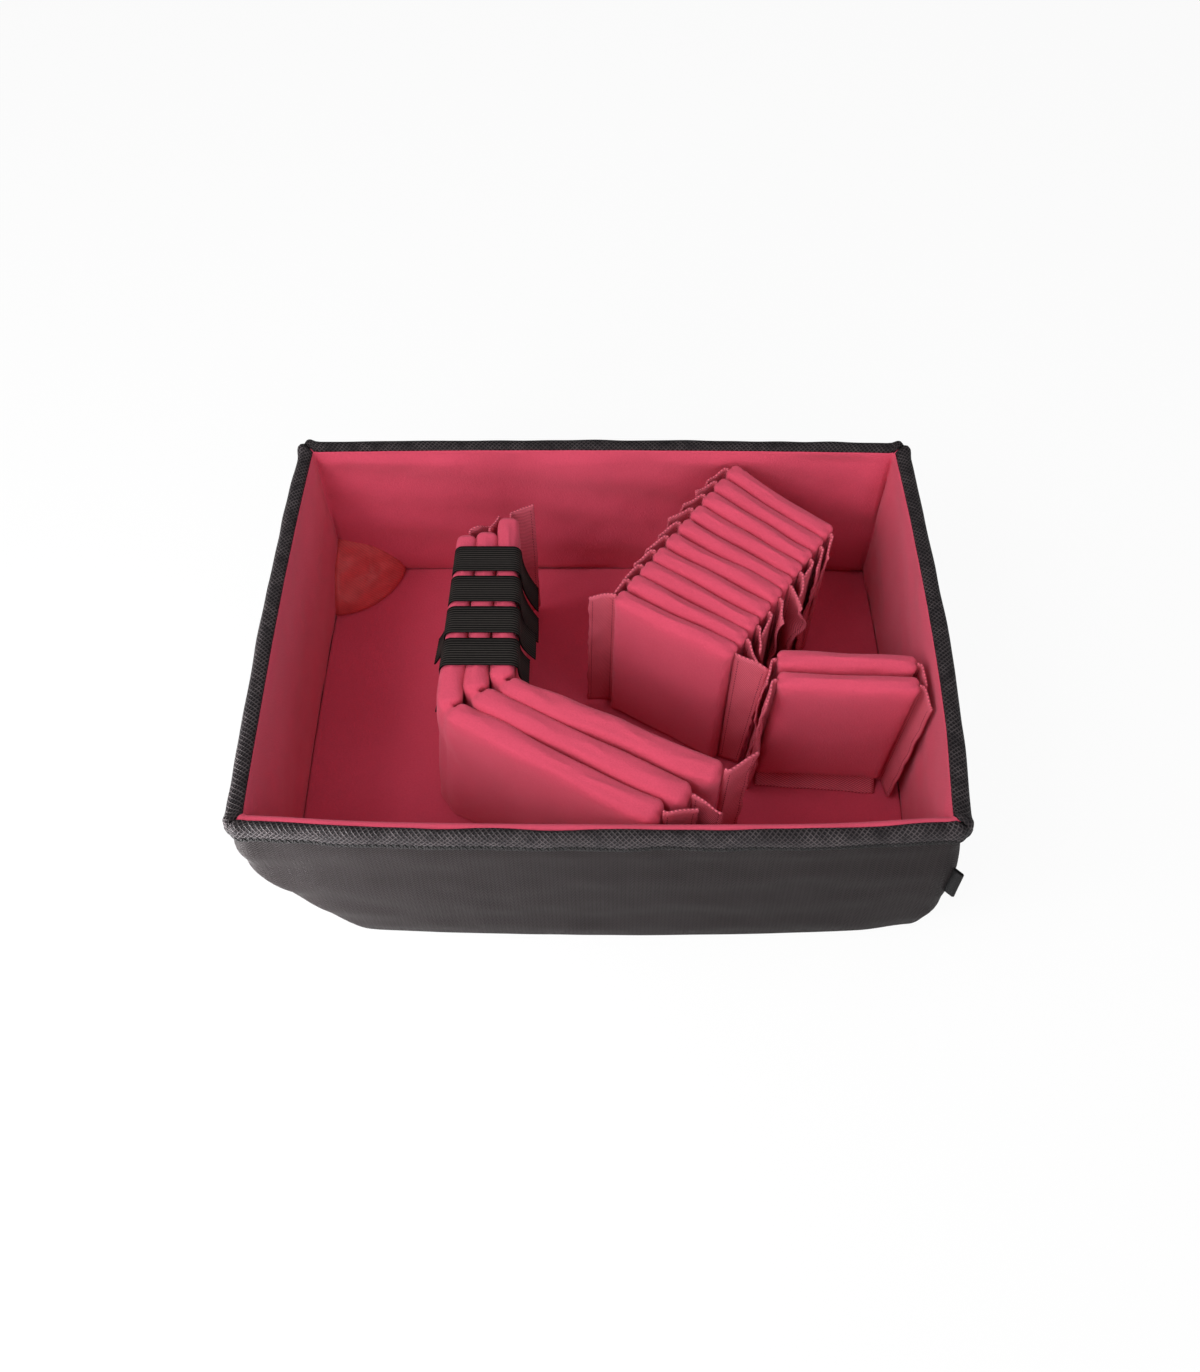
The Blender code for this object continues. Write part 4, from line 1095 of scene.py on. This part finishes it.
PAIR_LEFT_TABS = [(-88, -80, 0.019, 0.022, 0.0064), (-84, -80, 0.021, 0.021, 0.0030)]
PAIR_RIGHT_TABS = [(-78, -77, 0.021, 0.022, 0.0006), (-84, -82, 0.021, 0.021, 0.0010)]
TAPE_DARK = (0.36, 0.040, 0.066, 1)
TAPE_LIGHT = (0.95, 0.170, 0.250, 1)
TWILL = 0.0029


def tape_finish():
    finish = Finish("twill_hook_tape")
    along, across = finish.weave()
    place = finish.place()
    twill = (along + across * 1.6).ripple(TWILL)
    hooks = finish.noise(place, 0.0007, 2)
    drift = finish.noise(place, 0.02, 3)
    shade = twill * 0.75 + hooks * 0.30 + drift * 0.20 - 0.12
    colour = finish.mix(shade, TAPE_DARK, TAPE_LIGHT)
    normal = finish.bump(twill * 0.6 + hooks * 0.4, 0.0005)
    return finish.done(Base_Color=colour, Roughness=0.82 - twill * 0.08, Normal=normal)


def bend(distance, radius, turn):
    """Where a strip that first bends through `turn` has got to after `distance`, as (out, side)."""
    angle = np.clip(distance / radius, 0, np.abs(turn))
    after = np.maximum(distance - radius * np.abs(turn), 0)
    out = radius * np.sin(angle) + after * np.cos(turn)
    return out, np.sign(turn) * radius * (1 - np.cos(angle)) + after * np.sin(turn)


def tab_skin(side, start, facts, low, high, seed):
    """A side tab as (along, out, up): a band on the seam that bends away and waves toward its free edge."""
    foot_turn, top_turn, foot_width, top_width, wave = facts
    free, level = np.meshgrid(np.concatenate([[-1], np.linspace(0, 1, 15)]), np.linspace(0, 1, TAB_ROWS))
    rise = level ** 1.5
    turn = np.radians(foot_turn + (top_turn - foot_turn) * rise) + LEAST_TURN
    width = foot_width + (top_width - foot_width) * level
    run = np.where(free < 0, free * SEAM_BAND, free * width)
    free = np.maximum(free, 0)
    flat = np.stack([run, 0 * run, level * (high - low)], -1)
    out, drift = bend(np.maximum(run, 0), TAB_BEND_ROUND, turn)
    out = out + np.minimum(run, 0)
    sway = wave * free ** 1.2 * waves(flat * (0.6, 1, 1), TAB_SWAY_HUMP, seed) * (0.4 + 0.6 * level)
    sway = sway + (0.0004 + 0.12 * wave) * free * waves(flat, CRUMPLE_HUMP, seed + 1)
    drift = drift + sway * np.cos(turn)
    out = out - sway * np.sin(turn)
    out = out + ease(free, 0.9, 1) * folds_in(flat, FRAY_FOLDS, seed + 2)
    z = low + TAB_TAPER * free * 0.3 + level * (high - low - TAB_TAPER * free * 0.7)
    z = z + (0.0004 + 0.0016 * free) * waves(flat * (1, 1, 0), END_HUMP, seed + 3)
    return np.stack([side * (start + out), drift, z], -1)


def tab_seams(skin):
    """The stitched lines on both faces of a tab, near its free edge and near its root."""
    lines = []
    for column in (-3, 2):
        facing = np.cross(skin[1:-1, column] - skin[1:-1, column - 1], (0, 0, 1.0))
        facing /= np.linalg.norm(facing, axis=1)[:, None]
        for face in (-1, 1):
            lines.append((skin[1:-1, column] + facing * face * TAPE_THICKNESS / 2, facing * face))
    return lines


def hem_skin(start_z, folded, seed):
    """The hem under a pad: straight down to the floor, or folded forward along it."""
    half = SHORT_LENGTH / 2 - HEM_INSET
    lowest = FLOOR + TAPE_CLEAR
    places = np.linspace(-half, half, 34)
    if folded:
        u, share = np.meshgrid(places, np.linspace(0, 1, 18))
        run = share * (HEM_WIDTH + HEM_FLARE * u / half)
        down, ahead = bend(run, start_z - lowest, math.pi / 2)
        z = start_z - down
    else:
        u, share = np.meshgrid(places, np.linspace(0, 1, 6))
        run = share * (start_z - lowest)
        z, ahead = start_z - run, 0 * run
    flat = np.stack([u, run, 0 * u], -1)
    if folded:
        z = z + share * (folds_in(flat, HEM_SWAY, seed) + HEM_SWAY[0])
    n = -ahead + share * folds_in(flat, HEM_FOLDS, seed + 1)
    return np.stack([u, n, z], -1)


def join(name, meshes):
    """One mesh of several, with their cloth's lie kept."""
    shape = bmesh.new()
    for mesh in meshes:
        shape.from_mesh(mesh)
        if mesh != meshes[0]:
            bpy.data.meshes.remove(mesh)
    shape.to_mesh(meshes[0])
    shape.free()
    meshes[0].name = name
    return meshes[0]


tape = tape_finish()
# The rose thread is much darker than the lining: painted shade of the grooves that the stitches sink into.
thread = thread_finish("rose_thread_painted_groove_shade", (0.16, 0.012, 0.022, 1), (0.30, 0.030, 0.050, 1))
for kind, number, place, turn, pose in short_dividers:
    seed = 200 + 10 * number + (100 if kind == "pair" else 0)
    tabs = (ROW_LEFT_TABS, ROW_RIGHT_TABS) if kind == "row" else (PAIR_LEFT_TABS, PAIR_RIGHT_TABS)
    start = SHORT_LENGTH / 2 + SEAM_BAND
    skins = [tab_skin(side, start, side_tabs[number], TAB_LOW, TAB_HIGH, seed + side)
             for side, side_tabs in zip((-1, 1), tabs)]
    skins.append(hem_skin(FOOT_HEIGHTS[kind] - HEM_GAP, kind == "pair" and number == 0, seed + 5))
    skins = [stood(slumped(skin, *pose), place, turn) for skin in skins]
    for skin in skins:
        skin[..., 2] = np.maximum(skin[..., 2], FLOOR + TAPE_CLEAR)
    name = f"{kind}_border_{number + 1:02d}"
    body = f"{kind}_divider_{number + 1:02d}"
    border = add_piece(join(name, [loft(name, skin) for skin in skins]), tape, body,
                       (f"{kind}_flange_{number + 1:02d}",), thickness=TAPE_THICKNESS, centred=True)
    f"{kind}_sleeve_{number + 1:02d}"
    stitch_lines = [line for skin in skins[:2] for line in tab_seams(skin)]
    add_piece(stitch_mesh(f"{kind}_border_stitches_{number + 1:02d}", stitch_lines), thread, body)


# Long dividers
# Three longer sleeves with two foam boards each and a sewn crease between them, folded to a wide V and
# nested. Each ends in hook tabs. The fabric is one piece across the crease, so it bends there.
LONG_LEG = 0.182
LONG_BACK_LEG = 0.166
LONG_THICKNESS = 0.0190
LONG_FOOT = 0.0106
NEST_FOLDS = ((-0.1136, -0.0770), (-0.0943, -0.0645), (-0.0743, -0.0538))
NEST_TURNS = (-29.9, -28.6, -26.0)
NEST_MIDDLE = -0.0935
NEST_SQUEEZE = 0.16
SQUEEZE_START = -0.060
FRONT_PUFF = 0.13
FRONT_PUFF_REACH = 0.05
LONG_PLAN_ROUND = 0.0085
LONG_END_DROP = 0.0035
NEST_LEAN = 0.013
NEST_LEAN_REACH = 0.060
BACK_LENGTHS = (0.172, 0.163, 0.168)
REAR_TABS = ((-56, -58, 0.020, 0.022, 0.0014), (-30, -26, 0.017, 0.018, 0.0014),
             (-60, -62, 0.027, 0.027, 0.0016))
FRONT_TABS = ((45, 49, 0.021, 0.024, 0.0022), (6, -2, 0.019, 0.023, 0.0060), (62, 66, 0.018, 0.031, 0.0018))
TAB_RISES = {"rear": (0, 0, 0), "front": (0.0060, 0.0022, 0.0062)}
LONG_TAB_LOW = 0.002
CREASE_REACH = 0.0055
CREASE_STEPS = 61
CREASE_COLUMNS = np.linspace(-0.012, 0.012, 17)
# How much of the thickness the crease takes from the inner and the outer face, and how wide it is there
INNER_PINCH = (0.74, 0.0048)
OUTER_PINCH = (0.40, 0.0038)
CREASE_DROP = 0.0034
CREASE_DROP_WIDTH = 0.0036


def creased(points):
    """Thins a long divider at its crease, more on the inner side."""
    s, n, z = np.moveaxis(points, -1, 0)
    depth, width = (np.where(n > 0, inner, outer) for inner, outer in zip(INNER_PINCH, OUTER_PINCH))
    dip = depth * bell(s, width)
    sunk = CREASE_DROP * bell(s, CREASE_DROP_WIDTH) * ease(z, TOP_BEGINS, FLOOR + PAD_TOP)
    return np.stack([s, n * (1 - dip) * (1 + FRONT_PUFF * ease(s, 0, FRONT_PUFF_REACH)), z - sunk], -1)


def squeezed(points):
    """Draws the back legs together toward the rear, where the straps bind them, and lets the folds lean."""
    x, y, z = np.moveaxis(points, -1, 0)
    share = np.clip((y - SQUEEZE_START) / LONG_BACK_LEG, 0, 1.1)
    x = NEST_MIDDLE + (x - NEST_MIDDLE) * (1 - NEST_SQUEEZE * share)
    down = np.maximum(FLOOR + PAD_TOP - z, 0) / PAD_TOP
    return np.stack([x - NEST_LEAN * down * bell(y - NEST_FOLDS[1][1], NEST_LEAN_REACH), y, z], -1)


def folded(points, fold, turn):
    """Bends a straight divider at its crease: its back leg runs to the rear, its front leg along `turn`."""
    s, n, z = np.moveaxis(points, -1, 0)
    back = math.radians(-90)
    steps = np.linspace(-CREASE_REACH, CREASE_REACH, CREASE_STEPS)
    headings = back + (turn - back) * (steps / CREASE_REACH + 1) / 2
    ways = np.stack([np.cos(headings), np.sin(headings)], -1) * (steps[1] - steps[0])
    line = np.concatenate([[[0, 0]], np.cumsum(ways[:-1], 0)])
    line = line - line[CREASE_STEPS // 2]
    inside = np.clip(s, -CREASE_REACH, CREASE_REACH)
    heading = back + (turn - back) * (inside / CREASE_REACH + 1) / 2
    x, y = np.moveaxis(between(inside, steps, line), -1, 0)
    beyond = s - inside
    x, y = x + beyond * np.cos(heading), y + beyond * np.sin(heading)
    return np.stack([x - n * np.sin(heading) + fold[0], y + n * np.cos(heading) + fold[1], z], -1)


for number, leg_turn in enumerate(NEST_TURNS):
    leg_turn = math.radians(leg_turn)
    fold = np.array(NEST_FOLDS[number])
    skin = pillow(-BACK_LENGTHS[number], LONG_LEG, LONG_FOOT, LONG_THICKNESS, 400 + 20 * number,
                  CREASE_COLUMNS, LONG_PLAN_ROUND, LONG_END_DROP)
    seam = seam_of(skin)
    skin = creased(slumped(skin, 0, 0, 0, PAD_BOW, 440 + number))
    skin = squeezed(folded(skin, fold, leg_turn))
    sleeve = add_stuffed(f"long_sleeve_{number + 1}", skin, None,
                         (f"long_back_pad_{number + 1}", f"long_front_pad_{number + 1}"), seam)
    forward = np.array((math.cos(leg_turn), math.sin(leg_turn) - 1))
    forward /= np.linalg.norm(forward)
    f"nest_leg_{number + 1}"
    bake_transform(sleeve)
    for place_name, length, heading, facts, body in (
            ("rear", BACK_LENGTHS[number], math.pi / 2, REAR_TABS[number], "nest"),
            ("front", LONG_LEG, leg_turn, FRONT_TABS[number], f"nest_leg_{number + 1}")):
        high = TAB_HIGH + TAB_RISES[place_name][number]
        seed = 500 + 20 * number + len(place_name)
        skin = tab_skin(1, length + SEAM_BAND, facts, FLOOR + LONG_TAB_LOW, high, seed)
        skin = squeezed(stood(skin, fold, heading))
        name = f"long_{place_name}_tape_{number + 1}"
        tab = add_piece(loft(name, skin), tape, body, (f"long_{place_name}_tab_{number + 1}",),
                        thickness=TAPE_THICKNESS, centred=True)
        add_piece(stitch_mesh(f"{name}_stitches", tab_seams(skin)), thread, body)


# Elastic straps
# Four bands of black ribbed elastic, cut to length and drawn over the back legs of the nest, which they
# hold together. Their plain ends hang down and flare out at both sides.
STRAP_WIDTH = 0.026
STRAP_THICKNESS = 0.0013
STRAP_LENGTH = 0.180
STRAP_PITCH = 0.0309
STRAP_START = 0.0635
STRAP_SHOULDER = 0.0075
STRAP_LIFT = 0.0020
# How far each strap's end hangs down and stands off, as shares of the strap's length
LEFT_ENDS = ((0.22, 0.02), (0.22, 0.02), (0.20, 0.06), (0.33, 0.03))
RIGHT_ENDS = ((0.26, 0.075), (0.27, 0.075), (0.16, 0.07), (0.12, 0.045))
RIBS = 11
STRAP_SPAN = 0.0280
RIB_HEIGHT = 0.00055
STRAP_BLACK = (0.002, 0.002, 0.002, 1)
# Grey of the painted glints along the rib crests, and of the faint cross cords
STRAP_GLINT_GREY = (0.070, 0.061, 0.057, 1)
ELASTIC_CORD = 0.0009


def elastic_finish():
    finish = Finish("ribbed_black_elastic")
    along, across = finish.weave()
    cords = along.ripple(ELASTIC_CORD)
    # The thin light lines on the rib crests are painted highlights: glints of the light along each rib.
    crest_glint = across.ridges(STRAP_SPAN / RIBS) ** 9
    fuzz = finish.noise(finish.place(), 0.0005, 2)
    colour = finish.mix(crest_glint * (0.5 + fuzz * 0.5) + cords * 0.08, STRAP_BLACK, STRAP_GLINT_GREY)
    return finish.done(Base_Color=colour, Roughness=0.75 - cords * 0.1, Normal=finish.bump(cords, 0.0002),
                       Specular_IOR_Level=0.08)


def strap_side(edge, outward, drop, flare):
    """One side of a strap as (x, z), from its hanging end up over the pads' shoulder to their top."""
    level = FLOOR + PAD_TOP + STRAP_LIFT
    hang = np.linspace(1, 0, 16)[:-1]
    hanging = np.stack([edge + outward * STRAP_LENGTH * flare * hang ** 2,
                        level - STRAP_SHOULDER - STRAP_LENGTH * drop * hang], -1)
    quarter = np.linspace(0, np.pi / 2, 8)
    shoulder = np.stack([edge - outward * STRAP_SHOULDER * (1 - np.cos(quarter)),
                         level - STRAP_SHOULDER * (1 - np.sin(quarter))], -1)
    return np.concatenate([hanging, shoulder])


elastic = elastic_finish()
left = NEST_FOLDS[0][0] - LONG_THICKNESS / 2 - STRAP_LIFT
right = NEST_FOLDS[2][0] + LONG_THICKNESS / 2 + STRAP_LIFT
across_places = np.linspace(-0.5, 0.5, RIBS * 4 + 1)
ridge = RIB_HEIGHT * np.abs(np.sin(np.pi * RIBS * (across_places + 0.5))) ** 0.7
for number in range(4):
    rising = strap_side(left, -1, *LEFT_ENDS[number])
    falling = strap_side(right, 1, *RIGHT_ENDS[number])[::-1]
    line = np.concatenate([rising, np.linspace(rising[-1], falling[0], 18)[1:-1], falling])
    ahead = np.gradient(line, axis=0)
    ahead /= np.linalg.norm(ahead, axis=1)[:, None]
    out = np.stack([-ahead[:, 1], ahead[:, 0]], -1)
    middle = STRAP_START - STRAP_PITCH * number
    skin = line[None, :, :] + out[None, :, :] * ridge[:, None, None]
    y = np.broadcast_to((middle + STRAP_WIDTH * across_places)[:, None], skin.shape[:2])
    points = squeezed(np.stack([skin[..., 0], y, skin[..., 1]], -1))
    strap = add_piece(loft(f"elastic_{number + 1}", points), elastic, f"strap_{number + 1}",
                      (f"strap_{number + 1}",), thickness=STRAP_THICKNESS)
